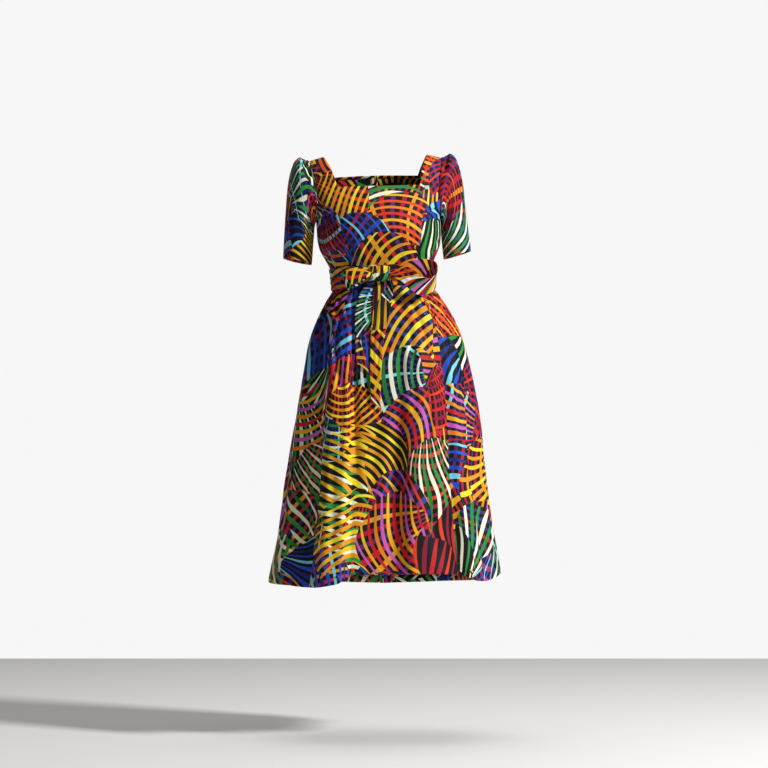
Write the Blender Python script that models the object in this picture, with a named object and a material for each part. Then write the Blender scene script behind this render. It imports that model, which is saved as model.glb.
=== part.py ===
"""Wax print midi dress in its worn shape, hollow and open.

A fitted bodice with a square neck and princess seams, two short sleeves gathered at the cap, a flared
skirt cut in gores with deep unpressed folds, and a sash of the same cloth tied in a bow at the front.
Every panel is a thin wall with the outer shape of the worn cloth. Metres, +Z up. The front faces -Y, and
+X is to the right as seen from the front. The origin lies between the shoulder straps, at the height
where they rest on the shoulders.
"""

import math
from collections import namedtuple

import bmesh
import bpy
import numpy as np

# Driving sizes
WALL = 0.002
SASH_WALL = 0.003
BOW_WALL = 0.0025
SEAM_GAP = 0.0004
WAIST = -0.315
HEM = -1.095
UNDERARM = -0.165
SEAM_TIP = -0.125
FRONT_NECK = -0.089
BACK_NECK = -0.050
SHOULDER = 0.030
OVAL = 0.04
PRINCESS_SKIRT = 36.5
FULLNESS = 0.009
FULLNESS_PLACE = (0.062, -0.205)
FULLNESS_REACH = (0.072, 0.052)
SHOULDER_DROP = 0.9
FOLD_LENGTH = 0.30
FOLD_AT_LENGTH = 0.62
SASH_CLEAR = 0.001
SLEEVE_GATHERS = 7
GATHER_DEPTH = 0.0028
GATHER_REACH = 70.0
SLEEVE_LEAN = -0.0075
CAP_SHARE = 0.30
SLEEVE_COLUMN = 14.0
STEP = 1e-4

# The body of the dress at each level: its height, half width and depth in front and behind
Level = namedtuple("Level", "level height half_width front back")
BODY = [
    Level(-1.250, -1.250, 0.308, 0.225, 0.255),
    Level(HEM, HEM, 0.284, 0.205, 0.232),
    Level(-0.963, -0.963, 0.260, 0.190, 0.215),
    Level(-0.824, -0.824, 0.242, 0.174, 0.199),
    Level(-0.732, -0.732, 0.233, 0.165, 0.190),
    Level(-0.637, -0.637, 0.222, 0.157, 0.181),
    Level(-0.579, -0.579, 0.215, 0.151, 0.174),
    Level(-0.527, -0.527, 0.207, 0.145, 0.167),
    Level(-0.476, -0.476, 0.195, 0.137, 0.157),
    Level(-0.425, -0.425, 0.174, 0.125, 0.139),
    Level(-0.374, -0.374, 0.145, 0.110, 0.110),
    Level(-0.345, -0.345, 0.129, 0.100, 0.089),
    Level(WAIST, WAIST, 0.1275, 0.097, 0.081),
    Level(-0.290, -0.290, 0.1310, 0.099, 0.083),
    Level(-0.260, -0.260, 0.1440, 0.106, 0.088),
    Level(-0.235, -0.235, 0.1545, 0.114, 0.093),
    Level(-0.205, -0.205, 0.1580, 0.120, 0.098),
    Level(UNDERARM, UNDERARM, 0.1580, 0.118, 0.102),
    Level(-0.145, -0.145, 0.1670, 0.114, 0.103),
    Level(-0.123, -0.123, 0.1735, 0.107, 0.102),
    Level(-0.100, -0.100, 0.1755, 0.098, 0.099),
    Level(-0.060, -0.060, 0.1800, 0.076, 0.084),
    Level(-0.030, -0.032, 0.1850, 0.055, 0.063),
    Level(0.000, -0.011, 0.1880, 0.031, 0.036),
    Level(0.018, -0.002, 0.1895, 0.013, 0.015),
    Level(SHOULDER, 0.000, 0.1900, 0.000, 0.000),
]

# Where the cut edges of the bodice run, in degrees round from the centre front or the centre back
Edge = namedtuple("Edge", "level princess armhole strap")
EDGES = [
    Edge(WAIST, 36.5, 90.0, 24.0),
    Edge(-0.250, 35.0, 90.0, 25.0),
    Edge(-0.200, 35.5, 90.0, 27.0),
    Edge(UNDERARM, 37.8, 90.0, 29.0),
    Edge(-0.158, 39.0, 78.0, 29.5),
    Edge(-0.150, 40.8, 70.0, 30.0),
    Edge(-0.138, 47.5, 63.8, 30.6),
    Edge(SEAM_TIP, 59.5, 60.0, 31.2),
    Edge(-0.100, 58.2, 58.2, 32.0),
    Edge(FRONT_NECK, 58.2, 58.2, 32.3),
    Edge(BACK_NECK, 58.4, 58.4, 34.2),
    Edge(0.000, 58.5, 58.5, 38.2),
    Edge(SHOULDER, 58.5, 58.5, 39.8),
]

# How the wearer stands: the body's sideways sway, the rise of its right side and its turn, in degrees
Stance = namedtuple("Stance", "height sway rise turn")
STANCE = [
    Stance(-1.250, 0.004, 0.000, 0.0),
    Stance(-1.095, 0.007, 0.000, 0.0),
    Stance(-0.800, 0.012, 0.000, 0.0),
    Stance(-0.600, 0.015, 0.000, 0.0),
    Stance(-0.450, 0.011, 0.012, 0.5),
    Stance(-0.360, 0.005, 0.040, 1.5),
    Stance(-0.300, 0.001, 0.045, 2.5),
    Stance(-0.200, -0.006, 0.038, 4.0),
    Stance(-0.082, -0.012, 0.034, 4.0),
    Stance(0.020, -0.016, 0.033, 4.0),
]

# The skirt's unpressed folds: each stands out between two flanks, in degrees at the hip and at the hem
Fold = namedtuple("Fold", "left_hip left_hem rise right_hip right_hem fall height start")
FOLDS = [
    Fold(-45.0, -31.5, 11.0, -28.5, -16.6, 3.6, 0.030, -0.345),
    Fold(14.5, 8.6, 8.0, 32.0, 31.0, 12.0, 0.028, -0.360),
    Fold(40.0, 39.5, 7.0, 50.0, 55.0, 7.0, 0.017, -0.420),
    Fold(68.0, 67.0, 9.0, 88.0, 86.0, 9.0, 0.017, -0.430),
    Fold(-82.0, -79.0, 12.0, -58.0, -55.0, 11.0, 0.018, -0.420),
    Fold(102.0, 101.0, 9.0, 122.0, 119.0, 9.0, 0.022, -0.400),
    Fold(140.0, 138.0, 9.0, 158.0, 157.0, 9.0, 0.026, -0.380),
    Fold(-122.0, -120.0, 9.0, -102.0, -101.0, 9.0, 0.022, -0.400),
    Fold(-159.0, -157.0, 9.0, -139.0, -137.0, 9.0, 0.026, -0.380),
]

# How far the hem hangs below its level, in degrees round from the centre front
Hang = namedtuple("Hang", "angle drop")
HEM_LINE = [
    Hang(-180.0, 0.012),
    Hang(-130.0, 0.004),
    Hang(-90.0, -0.004),
    Hang(-60.0, 0.000),
    Hang(-34.0, 0.006),
    Hang(-20.0, -0.004),
    Hang(-13.0, -0.027),
    Hang(10.0, -0.029),
    Hang(34.0, -0.028),
    Hang(48.0, -0.010),
    Hang(62.0, -0.008),
    Hang(76.0, -0.024),
    Hang(95.0, -0.020),
    Hang(130.0, 0.002),
    Hang(180.0, 0.012),
]

# The sleeve from the armhole to the cuff: its outer and inner lines and its half depth
Section = namedtuple("Section", "along outer_x outer_z inner_x inner_z depth")
SLEEVE = [
    Section(0.00, 0.1690, -0.0105, 0.1580, -0.1650, 0.050),
    Section(0.06, 0.1770, 0.0015, 0.1592, -0.1690, 0.053),
    Section(0.14, 0.1900, 0.0040, 0.1605, -0.1735, 0.056),
    Section(0.24, 0.2050, -0.0090, 0.1615, -0.1790, 0.057),
    Section(0.36, 0.2175, -0.0400, 0.1625, -0.1880, 0.055),
    Section(0.50, 0.2260, -0.0850, 0.1632, -0.2010, 0.052),
    Section(0.66, 0.2310, -0.1390, 0.1645, -0.2200, 0.049),
    Section(0.83, 0.2360, -0.1980, 0.1665, -0.2470, 0.046),
    Section(1.00, 0.2415, -0.2570, 0.1690, -0.2760, 0.044),
]

# The two loops of the bow, as a ribbon followed out from the knot and back: its middle line, its half
# width and the lean of its upper edge, out to the side and forward
Ribbon = namedtuple("Ribbon", "x y z half_width lean_x lean_y")
RIGHT_LOOP = [
    Ribbon(0.0040, -0.1151, -0.3135, 0.0080, 0.00, 0.00),
    Ribbon(0.0245, -0.1151, -0.3125, 0.0085, 0.00, 0.00),
    Ribbon(0.0400, -0.1135, -0.3080, 0.0135, 0.00, 0.00),
    Ribbon(0.0700, -0.1120, -0.3015, 0.0195, 0.05, 0.05),
    Ribbon(0.1000, -0.1080, -0.2985, 0.0225, 0.08, 0.10),
    Ribbon(0.1260, -0.1030, -0.3020, 0.0240, 0.08, 0.15),
    Ribbon(0.1385, -0.1070, -0.3110, 0.0245, 0.10, 0.25),
    Ribbon(0.1400, -0.1200, -0.3240, 0.0245, 0.15, 0.30),
    Ribbon(0.1300, -0.1340, -0.3410, 0.0240, 0.30, 0.25),
    Ribbon(0.1080, -0.1410, -0.3490, 0.0235, 0.45, 0.15),
    Ribbon(0.0800, -0.1400, -0.3340, 0.0225, 0.42, 0.10),
    Ribbon(0.0540, -0.1340, -0.3150, 0.0195, 0.25, 0.05),
    Ribbon(0.0360, -0.1285, -0.3140, 0.0125, 0.10, 0.00),
    Ribbon(0.0245, -0.1253, -0.3140, 0.0085, 0.03, 0.00),
    Ribbon(0.0040, -0.1253, -0.3135, 0.0080, 0.00, 0.00),
]
LEFT_LOOP = [
    Ribbon(-0.0060, -0.1253, -0.3135, 0.0080, 0.00, 0.00),
    Ribbon(-0.0255, -0.1253, -0.3125, 0.0085, 0.00, 0.00),
    Ribbon(-0.0370, -0.1275, -0.3120, 0.0130, -0.08, 0.00),
    Ribbon(-0.0560, -0.1300, -0.3170, 0.0185, -0.20, 0.05),
    Ribbon(-0.0740, -0.1300, -0.3240, 0.0220, -0.35, 0.05),
    Ribbon(-0.0880, -0.1255, -0.3310, 0.0225, -0.48, 0.05),
    Ribbon(-0.0925, -0.1180, -0.3340, 0.0225, -0.50, 0.05),
    Ribbon(-0.0870, -0.1105, -0.3330, 0.0220, -0.45, 0.00),
    Ribbon(-0.0720, -0.1110, -0.3290, 0.0205, -0.30, 0.00),
    Ribbon(-0.0540, -0.1130, -0.3220, 0.0175, -0.15, 0.00),
    Ribbon(-0.0370, -0.1150, -0.3150, 0.0125, -0.05, 0.00),
    Ribbon(-0.0255, -0.1151, -0.3135, 0.0085, 0.00, 0.00),
    Ribbon(-0.0060, -0.1151, -0.3135, 0.0080, 0.00, 0.00),
]

# The tails of the bow, over the skirt: their two edges at each height, and how far they stand off it
Hanging = namedtuple("Hanging", "z left right off_left off_right")
FRONT_TAIL = [
    Hanging(-0.312, -0.014, 0.016, 0.0089, 0.0089),
    Hanging(-0.332, -0.019, 0.023, 0.0089, 0.0089),
    Hanging(-0.350, -0.020, 0.028, 0.0089, 0.0089),
    Hanging(-0.375, -0.021, 0.027, 0.0080, 0.0080),
    Hanging(-0.405, -0.022, 0.023, 0.0060, 0.0075),
    Hanging(-0.440, -0.024, 0.017, 0.0060, 0.0075),
    Hanging(-0.475, -0.026, 0.010, 0.0060, 0.0090),
    Hanging(-0.510, -0.027, 0.005, 0.0060, 0.0100),
    Hanging(-0.560, -0.027, 0.002, 0.0060, 0.0090),
    Hanging(-0.610, -0.026, 0.000, 0.0055, 0.0080),
    Hanging(-0.655, -0.024, -0.001, 0.0055, 0.0070),
]
SIDE_TAIL = [
    Hanging(-0.312, -0.020, 0.010, 0.0060, 0.0060),
    Hanging(-0.335, -0.036, 0.006, 0.0060, 0.0060),
    Hanging(-0.360, -0.052, -0.006, 0.0060, 0.0052),
    Hanging(-0.390, -0.062, -0.014, 0.0050, 0.0020),
    Hanging(-0.425, -0.066, -0.020, 0.0050, 0.0020),
    Hanging(-0.465, -0.066, -0.023, 0.0045, 0.0020),
    Hanging(-0.505, -0.063, -0.024, 0.0040, 0.0020),
    Hanging(-0.545, -0.060, -0.026, 0.0040, 0.0020),
]
FRONT_TAIL_POINT = -0.012
SIDE_TAIL_POINT = -0.034

# The knot: a turn of the sash wrapped over the middle of the bow
KNOT_CENTRE = (-0.0005, -0.1202, -0.3135)
KNOT_HALF = (0.0235, 0.0106, 0.0210)
KNOT_PINCH = 0.10
KNOT_TILT = 0.10

# Rows and columns of the walls
BODICE_ROWS = [WAIST, -0.290, -0.262, -0.235, -0.205, -0.182, UNDERARM, -0.158, -0.150, -0.138]
BODICE_ROWS += [SEAM_TIP, -0.105, FRONT_NECK, BACK_NECK, -0.022, 0.002, 0.018, SHOULDER]
SKIRT_ROWS = [WAIST, -0.330, -0.345, -0.374, -0.410, -0.450, -0.505, -0.575, -0.660, -0.760, -0.870]
SKIRT_ROWS += [-0.985, HEM]
COLUMN_WIDTH = 4.5
FOLD_MARGIN = 2.0
SLEEVE_ROWS = [0.0, 0.05, 0.12, 0.20, 0.30, 0.43, 0.58, 0.78, 1.0]
SASH_ROWS = [-0.345, -0.330, WAIST, -0.302, -0.290]
SASH_COLUMNS = 72
LOOP_COLUMNS = 26
LOOP_ROWS = 4
TAIL_ROWS = 12
TAIL_COLUMNS = 4
KNOT_COLUMNS = 28
KNOT_ROWS = 6

# Finishes
COTTON = ((0.42, 0.09, 0.05, 1.0), 0.75)
SASH_COTTON = ((0.55, 0.33, 0.05, 1.0), 0.75)


def curve(rows, key, column, at):
    """A smooth curve through one column of a table, with no overshoot between its rows."""
    xs = np.array([getattr(row, key) for row in rows], float)
    ys = np.array([getattr(row, column) for row in rows], float)
    at = np.clip(np.asarray(at, float), xs[0], xs[-1])
    steps = np.diff(xs)
    slopes = np.diff(ys) / steps
    same_way = slopes[:-1] * slopes[1:] > 0
    mean = np.where(same_way, 2 * slopes[:-1] * slopes[1:] / (slopes[:-1] + slopes[1:] + 1e-30), 0.0)
    tangents = np.concatenate([slopes[:1], mean, slopes[-1:]])
    i = np.clip(np.searchsorted(xs, at, side="right") - 1, 0, len(xs) - 2)
    t = (at - xs[i]) / steps[i]
    rise = ys[i + 1] - ys[i]
    return (
        ys[i]
        + rise * t * t * (3 - 2 * t)
        + steps[i] * (tangents[i] * t * (1 - t) ** 2 - tangents[i + 1] * t * t * (1 - t))
    )


def ramp(value, start, end):
    """0 before start, 1 after end, and smooth between them."""
    t = np.clip((value - start) / (end - start), 0, 1)
    return t * t * (3 - 2 * t)


def stand(points):
    """The wearer's stance: the dress leans, rises on its right and turns a little."""
    x, y, z = np.moveaxis(np.asarray(points, float), -1, 0)
    turn = np.radians(curve(STANCE, "height", "turn", z))
    turned_x = x * np.cos(turn) - y * np.sin(turn)
    turned_y = x * np.sin(turn) + y * np.cos(turn)
    sway = curve(STANCE, "height", "sway", z)
    rise = curve(STANCE, "height", "rise", z)
    return np.stack([turned_x + sway, turned_y, z + rise * turned_x], -1)


def fall_share(level):
    """How far a fold has moved from its place at the hip, 0, to its place at the hem, 1, hanging straight."""
    hip, hem, here = (1 / curve(BODY, "level", "half_width", z) for z in (-0.40, HEM, level))
    return np.clip((here - hip) / (hem - hip), -0.2, 1)


def skirt_folds(angle, level):
    """How far the skirt's folds stand out from its plain oval."""
    down = fall_share(level)
    turn = (angle + 180) % 360 - 180
    out = 0.0
    for fold in FOLDS:
        left = fold.left_hip + (fold.left_hem - fold.left_hip) * down
        right = fold.right_hip + (fold.right_hem - fold.right_hip) * down
        body = ramp(turn, left - fold.rise / 2, left + fold.rise / 2)
        body = body * (1 - ramp(turn, right - fold.fall / 2, right + fold.fall / 2))
        early = ramp(-level, -fold.start, FOLD_LENGTH - fold.start)
        late = ramp(-level, -fold.start, -HEM)
        out = out + fold.height * body * (FOLD_AT_LENGTH * early + (1 - FOLD_AT_LENGTH) * late)
    return out


def oval(angle, level):
    """The plain oval of the dress at a level, before folds, bust and shoulder slope."""
    a = np.radians(angle)
    width = curve(BODY, "level", "half_width", level)
    front = curve(BODY, "level", "front", level)
    back = curve(BODY, "level", "back", level)
    across = (np.sin(a) + OVAL * np.sin(3 * a)) / (1 - OVAL)
    ahead = (np.cos(a) - OVAL * np.cos(3 * a)) / (1 - OVAL)
    depth = np.where(ahead > 0, front, back)
    return width * across, -depth * ahead


def body_base(angle, level):
    """A point of the dress's outer face, from the degrees round from the centre front and the level. Past
    the shoulder line the surface runs on down the other side, so that both sides agree there."""
    angle, level = np.broadcast_arrays(np.asarray(angle, float), np.asarray(level, float))
    over = level > SHOULDER
    inside = np.where(over, 2 * SHOULDER - level, level)
    x, y = oval(angle, inside)
    aside = (np.abs(x) - FULLNESS_PLACE[0]) / FULLNESS_REACH[0]
    above = (inside - FULLNESS_PLACE[1]) / FULLNESS_REACH[1]
    y = y - FULLNESS * np.exp(-(aside**2) - above**2) * np.clip(2 * np.cos(np.radians(angle)), 0, 1)
    side_x, side_y = oval(angle + 0.5, inside)
    back_x, back_y = oval(angle - 0.5, inside)
    normal = np.stack([side_y - back_y, back_x - side_x], -1)
    normal /= np.linalg.norm(normal, axis=-1, keepdims=True) + 1e-12
    out = skirt_folds(angle, inside)
    x = x + normal[..., 0] * out
    y = y + normal[..., 1] * out
    height = curve(BODY, "level", "height", inside)
    turn = (angle + 180) % 360 - 180
    skirt = np.clip((WAIST - inside) / (WAIST - HEM), 0, 1)
    height = height - skirt * curve(HEM_LINE, "angle", "drop", turn)
    strap_x = curve(EDGES, "level", "strap", SHOULDER)
    inner = curve(BODY, "level", "half_width", SHOULDER) * math.sin(math.radians(strap_x))
    height = height - SHOULDER_DROP * (x * x - inner * inner) * ramp(inside, FRONT_NECK, 0.01)
    return np.stack([x, np.where(over, -y, y), height], -1)


def body_normal(angle, level):
    """The outward normal of the dress, square to the waist and shoulder seams so that walls meet evenly."""
    across = body_base(angle + 0.05, level) - body_base(angle - 0.05, level)
    up = body_base(angle, level + STEP) - body_base(angle, level - STEP)
    normal = np.cross(across, up)
    at_waist = np.abs(np.asarray(level) - WAIST) < 0.001
    at_shoulder = np.abs(np.asarray(level) - SHOULDER) < 0.001
    normal[..., 2] = np.where(at_waist, 0, normal[..., 2])
    normal[..., 1] = np.where(at_shoulder, 0, normal[..., 1])
    return normal / np.linalg.norm(normal, axis=-1, keepdims=True)


def body_wall(angle, level, wall=WALL):
    """The outer and inner faces of the dress's cloth."""
    outer = body_base(angle, level)
    return stand(outer), stand(outer - wall * body_normal(angle, level))


def degrees_for(distance, angle, level):
    """The turn, in degrees, that moves a point this far round the dress."""
    speed = np.linalg.norm(body_base(angle + 0.05, level) - body_base(angle - 0.05, level), axis=-1) / 0.1
    return distance / speed


def new_object(name, bm, finish, smooth=True):
    """A named object from a mesh, with its own material."""
    bmesh.ops.recalc_face_normals(bm, faces=bm.faces[:])
    mesh = bpy.data.meshes.new(name)
    bm.to_mesh(mesh)
    bm.free()
    if smooth:
        mesh.shade_smooth()
        mesh.set_sharp_from_angle(angle=math.radians(40))
    colour, roughness = finish
    material = bpy.data.materials.new(name)
    material.use_nodes = True
    shader = material.node_tree.nodes["Principled BSDF"]
    shader.inputs["Base Color"].default_value = colour
    shader.inputs["Roughness"].default_value = roughness
    shader.inputs["Metallic"].default_value = 0.0
    mesh.materials.append(material)
    made = bpy.data.objects.new(name, mesh)
    bpy.context.scene.collection.objects.link(made)
    return made


def cloth(name, outer, inner, finish=COTTON, cut_away=None, closed=False):
    """A wall of cloth from two grids of points, its outer and inner faces. cut_away marks the cells that
    the cut leaves out, and closed joins the last column to the first, as round a sleeve."""
    columns, rows = outer.shape[0] - 1, outer.shape[1] - 1
    bm = bmesh.new()
    spot = bm.verts.layers.int.new("spot")
    bmesh.ops.create_grid(bm, x_segments=columns, y_segments=rows, size=0.5)
    for vert in bm.verts:
        column, row = round((vert.co.x + 0.5) * columns), round((vert.co.y + 0.5) * rows)
        vert[spot] = column * (rows + 1) + row
    if cut_away is not None:
        corners = {face: min(vert[spot] for vert in face.verts) for face in bm.faces}
        cut = [face for face, corner in corners.items() if cut_away[divmod(corner, rows + 1)]]
        bmesh.ops.delete(bm, geom=cut, context="FACES")
    for vert in bm.verts:
        vert.co = outer[divmod(vert[spot], rows + 1)]
    if closed:
        bmesh.ops.remove_doubles(bm, verts=bm.verts[:], dist=1e-6)
    made = bmesh.ops.extrude_face_region(bm, geom=bm.faces[:], use_keep_orig=True)
    for item in made["geom"]:
        if isinstance(item, bmesh.types.BMVert):
            item.co = inner[divmod(item[spot], rows + 1)]
    return new_object(name, bm, finish)


def between(start, end, count):
    """Evenly spaced columns between two edges, each given for every row."""
    share = np.linspace(0, 1, count + 1)[:, None]
    return np.asarray(start)[None, :] * (1 - share) + np.asarray(end)[None, :] * share


def inset(angles, levels):
    """Columns between two seams, drawn in by half the seam gap on each side."""
    angles = angles.copy()
    gap = SEAM_GAP / 2
    angles[0] += degrees_for(gap, angles[0], levels)
    angles[-1] -= degrees_for(gap, angles[-1], levels)
    return angles


def row_levels(rows, bottom_gap=True, top_gap=True):
    """The rows' levels, with half a seam gap taken off the ends that meet another piece."""
    levels = np.array(rows, float)
    levels[0] += SEAM_GAP / 2 if bottom_gap else 0
    levels[-1] -= SEAM_GAP / 2 if top_gap else 0
    return levels


def edge_at(column, levels):
    return curve(EDGES, "level", column, levels)


def bodice_front_centre():
    """The middle of the bodice front, up to the square neck, with the front of both straps."""
    levels = row_levels(BODICE_ROWS)
    strap = edge_at("strap", levels)
    seam = edge_at("princess", levels)
    left = between(-seam, -strap, 4)
    middle = between(-strap, strap, 12)
    right = between(strap, seam, 4)
    angles = inset(np.concatenate([left, middle[1:-1], right]), levels)
    neck_row = BODICE_ROWS.index(FRONT_NECK)
    away = np.zeros((angles.shape[0] - 1, len(levels) - 1), bool)
    away[4:16, neck_row:] = True
    outer, inner = body_wall(angles, levels[None, :])
    cloth("bodice_front_centre", outer, inner, cut_away=away)


def bodice_front_side(name, side):
    """The side front, from the princess seam round to the side seam, with its tip at the armhole."""
    rows = BODICE_ROWS[: BODICE_ROWS.index(SEAM_TIP) + 1]
    levels = row_levels(rows, top_gap=False)
    angles = inset(between(edge_at("princess", levels), edge_at("armhole", levels), 5), levels)
    outer, inner = body_wall(side * angles, levels[None, :])
    cloth(name, outer, inner)


def bodice_back(name, side):
    """Half of the bodice back, from the side seam to the centre back seam, with the back of one strap."""
    levels = row_levels(BODICE_ROWS)
    armhole = 180 - edge_at("armhole", levels)
    strap = 180 - edge_at("strap", levels)
    outer_part = between(armhole, strap, 5)
    inner_part = between(strap, np.full(len(levels), 180.0), 4)
    angles = inset(np.concatenate([outer_part, inner_part[1:]]), levels)
    neck_row = BODICE_ROWS.index(BACK_NECK)
    away = np.zeros((angles.shape[0] - 1, len(levels) - 1), bool)
    away[5:, neck_row:] = True
    outer, inner = body_wall(side * angles, levels[None, :])
    cloth(name, outer, inner, cut_away=away)


def fold_lines(start, end, level):
    """The edges of the fold flanks that lie wholly inside a gore, across from one seam to the other."""
    down = fall_share(level)
    lines = []
    for fold in FOLDS:
        left = fold.left_hip + (fold.left_hem - fold.left_hip) * down
        right = fold.right_hip + (fold.right_hem - fold.right_hip) * down
        flanks = [left - fold.rise / 2, left + fold.rise / 2, right - fold.fall / 2, right + fold.fall / 2]
        for line in flanks:
            if line.min() > start + FOLD_MARGIN and line.max() < end - FOLD_MARGIN:
                lines.append(line)
    lines.sort(key=lambda line: line.mean())
    return [np.full(len(level), start)] + lines + [np.full(len(level), end)]


def skirt_panel(name, start, end):
    """One gore of the skirt from the waist seam to the hem, its columns running along the folds."""
    levels = row_levels(SKIRT_ROWS[::-1], bottom_gap=False)
    lines = fold_lines(start, end, levels)
    strips = []
    for left, right in zip(lines[:-1], lines[1:]):
        width = (right - left).mean()
        strips.append(between(left, right, max(2, math.ceil(width / COLUMN_WIDTH)))[:-1])
    angles = inset(np.concatenate(strips + [lines[-1][None, :]]), levels)
    outer, inner = body_wall(angles, levels[None, :])
    cloth(name, outer, inner)


def armhole_line(side):
    """The armhole's edge from the shoulder down the front to the underarm and up the back, before the
    stance, with the cloth's outward normal along it."""
    rows = BODICE_ROWS[BODICE_ROWS.index(UNDERARM) :][::-1]
    levels = np.array(rows, float)
    angle = edge_at("armhole", levels)
    front = body_base(side * angle, levels)
    front_out = body_normal(side * angle, levels)
    back = body_base(side * (180 - angle), levels)
    back_out = body_normal(side * (180 - angle), levels)
    return np.concatenate([front, back[-2:0:-1]]), np.concatenate([front_out, back_out[-2:0:-1]])


def sleeve_frame(along):
    """The centre, the half axis towards the outer line, and the half depth of the sleeve's oval."""
    outer = np.stack([curve(SLEEVE, "along", "outer_x", along), curve(SLEEVE, "along", "outer_z", along)], -1)
    inner = np.stack([curve(SLEEVE, "along", "inner_x", along), curve(SLEEVE, "along", "inner_z", along)], -1)
    return (outer + inner) / 2, (outer - inner) / 2, curve(SLEEVE, "along", "depth", along)


def sleeve_oval(turn, along):
    """A point of the plain sleeve: degrees round from its top line, and how far along to the cuff."""
    centre, axis, depth = sleeve_frame(along)
    a = np.radians(turn)
    x = centre[..., 0] + axis[..., 0] * np.cos(a)
    y = -depth * np.sin(a)
    z = centre[..., 1] + axis[..., 1] * np.cos(a)
    return np.stack([x, y, z], -1)


def gathers(turn, along):
    """The small pleats that draw the cap into the armhole, on the upper part of the cap only."""
    cap = ramp(GATHER_REACH - np.abs((turn + 180) % 360 - 180), 0, GATHER_REACH / 3)
    fade = ramp(along, 0.0, 0.05) * (1 - ramp(along, 0.10, 0.42))
    return GATHER_DEPTH * cap * fade * np.cos(np.pi * turn / GATHER_REACH * SLEEVE_GATHERS)


def sleeve_base(turn, along, arm_turn, arm_points, side):
    """A point of the sleeve's outer face, drawn in to the armhole's edge at its start."""
    turn, along = np.broadcast_arrays(np.asarray(turn, float), np.asarray(along, float))
    plain = sleeve_oval(turn, along)
    start = sleeve_oval(turn, np.zeros_like(along))
    wrapped = turn % 360
    arm = np.stack([np.interp(wrapped, arm_turn, arm_points[:, k]) for k in range(3)], -1)
    arm[..., 0] *= side
    fade = (1 - ramp(along, 0.0, CAP_SHARE))[..., None]
    point = plain + fade * (arm - start)
    around = sleeve_oval(turn + 1, along) - sleeve_oval(turn - 1, along)
    ahead = np.minimum(along + 0.01, 1)
    onward = sleeve_oval(turn, ahead) - sleeve_oval(turn, ahead - 0.02)
    normal = np.cross(around, onward)
    normal /= np.linalg.norm(normal, axis=-1, keepdims=True) + 1e-12
    point = point + normal * gathers(turn, along)[..., None]
    point[..., 0] = point[..., 0] * side + SLEEVE_LEAN * along**1.5
    return point


def sleeve(name, side):
    """One short sleeve: a gathered cap sewn round the armhole, open at the cuff."""
    line, out = armhole_line(side)
    top, bottom = line[0, 2], line[len(line) // 2, 2]
    share = np.clip((line[:, 2] - (top + bottom) / 2) / ((top - bottom) / 2), -1, 1)
    turns = np.degrees(np.arccos(share))
    half = len(turns) // 2
    turns[half + 1 :] = 360 - turns[half + 1 :]
    centre = line.mean(axis=0)
    away = np.cross(np.roll(line, -1, axis=0) - np.roll(line, 1, axis=0), out)
    away /= np.linalg.norm(away, axis=1, keepdims=True)
    inward = np.einsum("ij,ij->i", away, centre - line) > 0
    away[~inward] *= -1
    seam = line + (out + away) * SEAM_GAP
    arm_turn = np.append(turns, 360.0)
    arm_points = np.concatenate([seam, seam[:1]])
    columns = []
    for start, end in zip(arm_turn[:-1], arm_turn[1:]):
        pieces = max(1, math.ceil((end - start) / SLEEVE_COLUMN))
        columns.extend(start + (end - start) * k / pieces for k in range(pieces))
    turn = np.array(columns + [360.0])[:, None]
    along = np.array(SLEEVE_ROWS)[None, :]
    outer = sleeve_base(turn, along, arm_turn, arm_points, side)
    aside, ahead = 0.5, 0.004
    around = sleeve_base(turn + aside, along, arm_turn, arm_points, side)
    around = around - sleeve_base(turn - aside, along, arm_turn, arm_points, side)
    onward = sleeve_base(turn, along + ahead, arm_turn, arm_points, side)
    onward = onward - sleeve_base(turn, np.maximum(along - ahead, 0), arm_turn, arm_points, side)
    normal = np.cross(around, onward) * side
    normal /= np.linalg.norm(normal, axis=-1, keepdims=True)
    outer[-1] = outer[0]
    normal[-1] = normal[0]
    cloth(name, stand(outer), stand(outer - WALL * normal), closed=True)


def sash_band():
    """The sash round the waist, over the waist seam, closed behind the knot."""
    levels = np.array(SASH_ROWS)[None, :]
    angle = np.linspace(-180, 180, SASH_COLUMNS + 1)[:, None]
    base = body_base(angle, levels)
    normal = body_normal(angle, levels)
    share = np.linspace(-1, 1, len(SASH_ROWS))[None, :, None]
    swell = 0.0015 * (1 - share**2)
    outer = base + normal * (SASH_CLEAR + SASH_WALL + swell)
    inner = base + normal * SASH_CLEAR
    outer[-1], inner[-1] = outer[0], inner[0]
    cloth("sash_band", stand(outer), stand(inner), finish=SASH_COTTON, closed=True)


def bow_loop(name, rows):
    """One loop of the bow, a ribbon that leaves the knot, turns and comes back to it."""
    table = np.array(rows)
    length = np.concatenate([[0], np.cumsum(np.linalg.norm(np.diff(table[:, :3], axis=0), axis=1))])
    stations = np.linspace(0, length[-1], LOOP_COLUMNS + 1)
    knots = [namedtuple("Knot", "at value")(a, 0) for a in length]
    smooth = []
    for column in range(table.shape[1]):
        line = [knot._replace(value=v) for knot, v in zip(knots, table[:, column])]
        smooth.append(curve(line, "at", "value", stations))
    x, y, z, half, lean_x, lean_y = smooth
    middle = np.stack([x, y, z], -1)
    up = np.stack([lean_x, -lean_y, np.ones_like(x)], -1)
    up /= np.linalg.norm(up, axis=1, keepdims=True)
    ahead = np.gradient(middle, axis=0)
    facing = np.cross(up, ahead)
    facing /= np.linalg.norm(facing, axis=1, keepdims=True)
    across = np.linspace(-1, 1, LOOP_ROWS + 1)
    points = middle[:, None, :] + up[:, None, :] * (half[:, None] * across[None, :])[..., None]
    shift = facing[:, None, :] * BOW_WALL / 2
    cloth(name, points + shift, points - shift, finish=SASH_COTTON)


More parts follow.
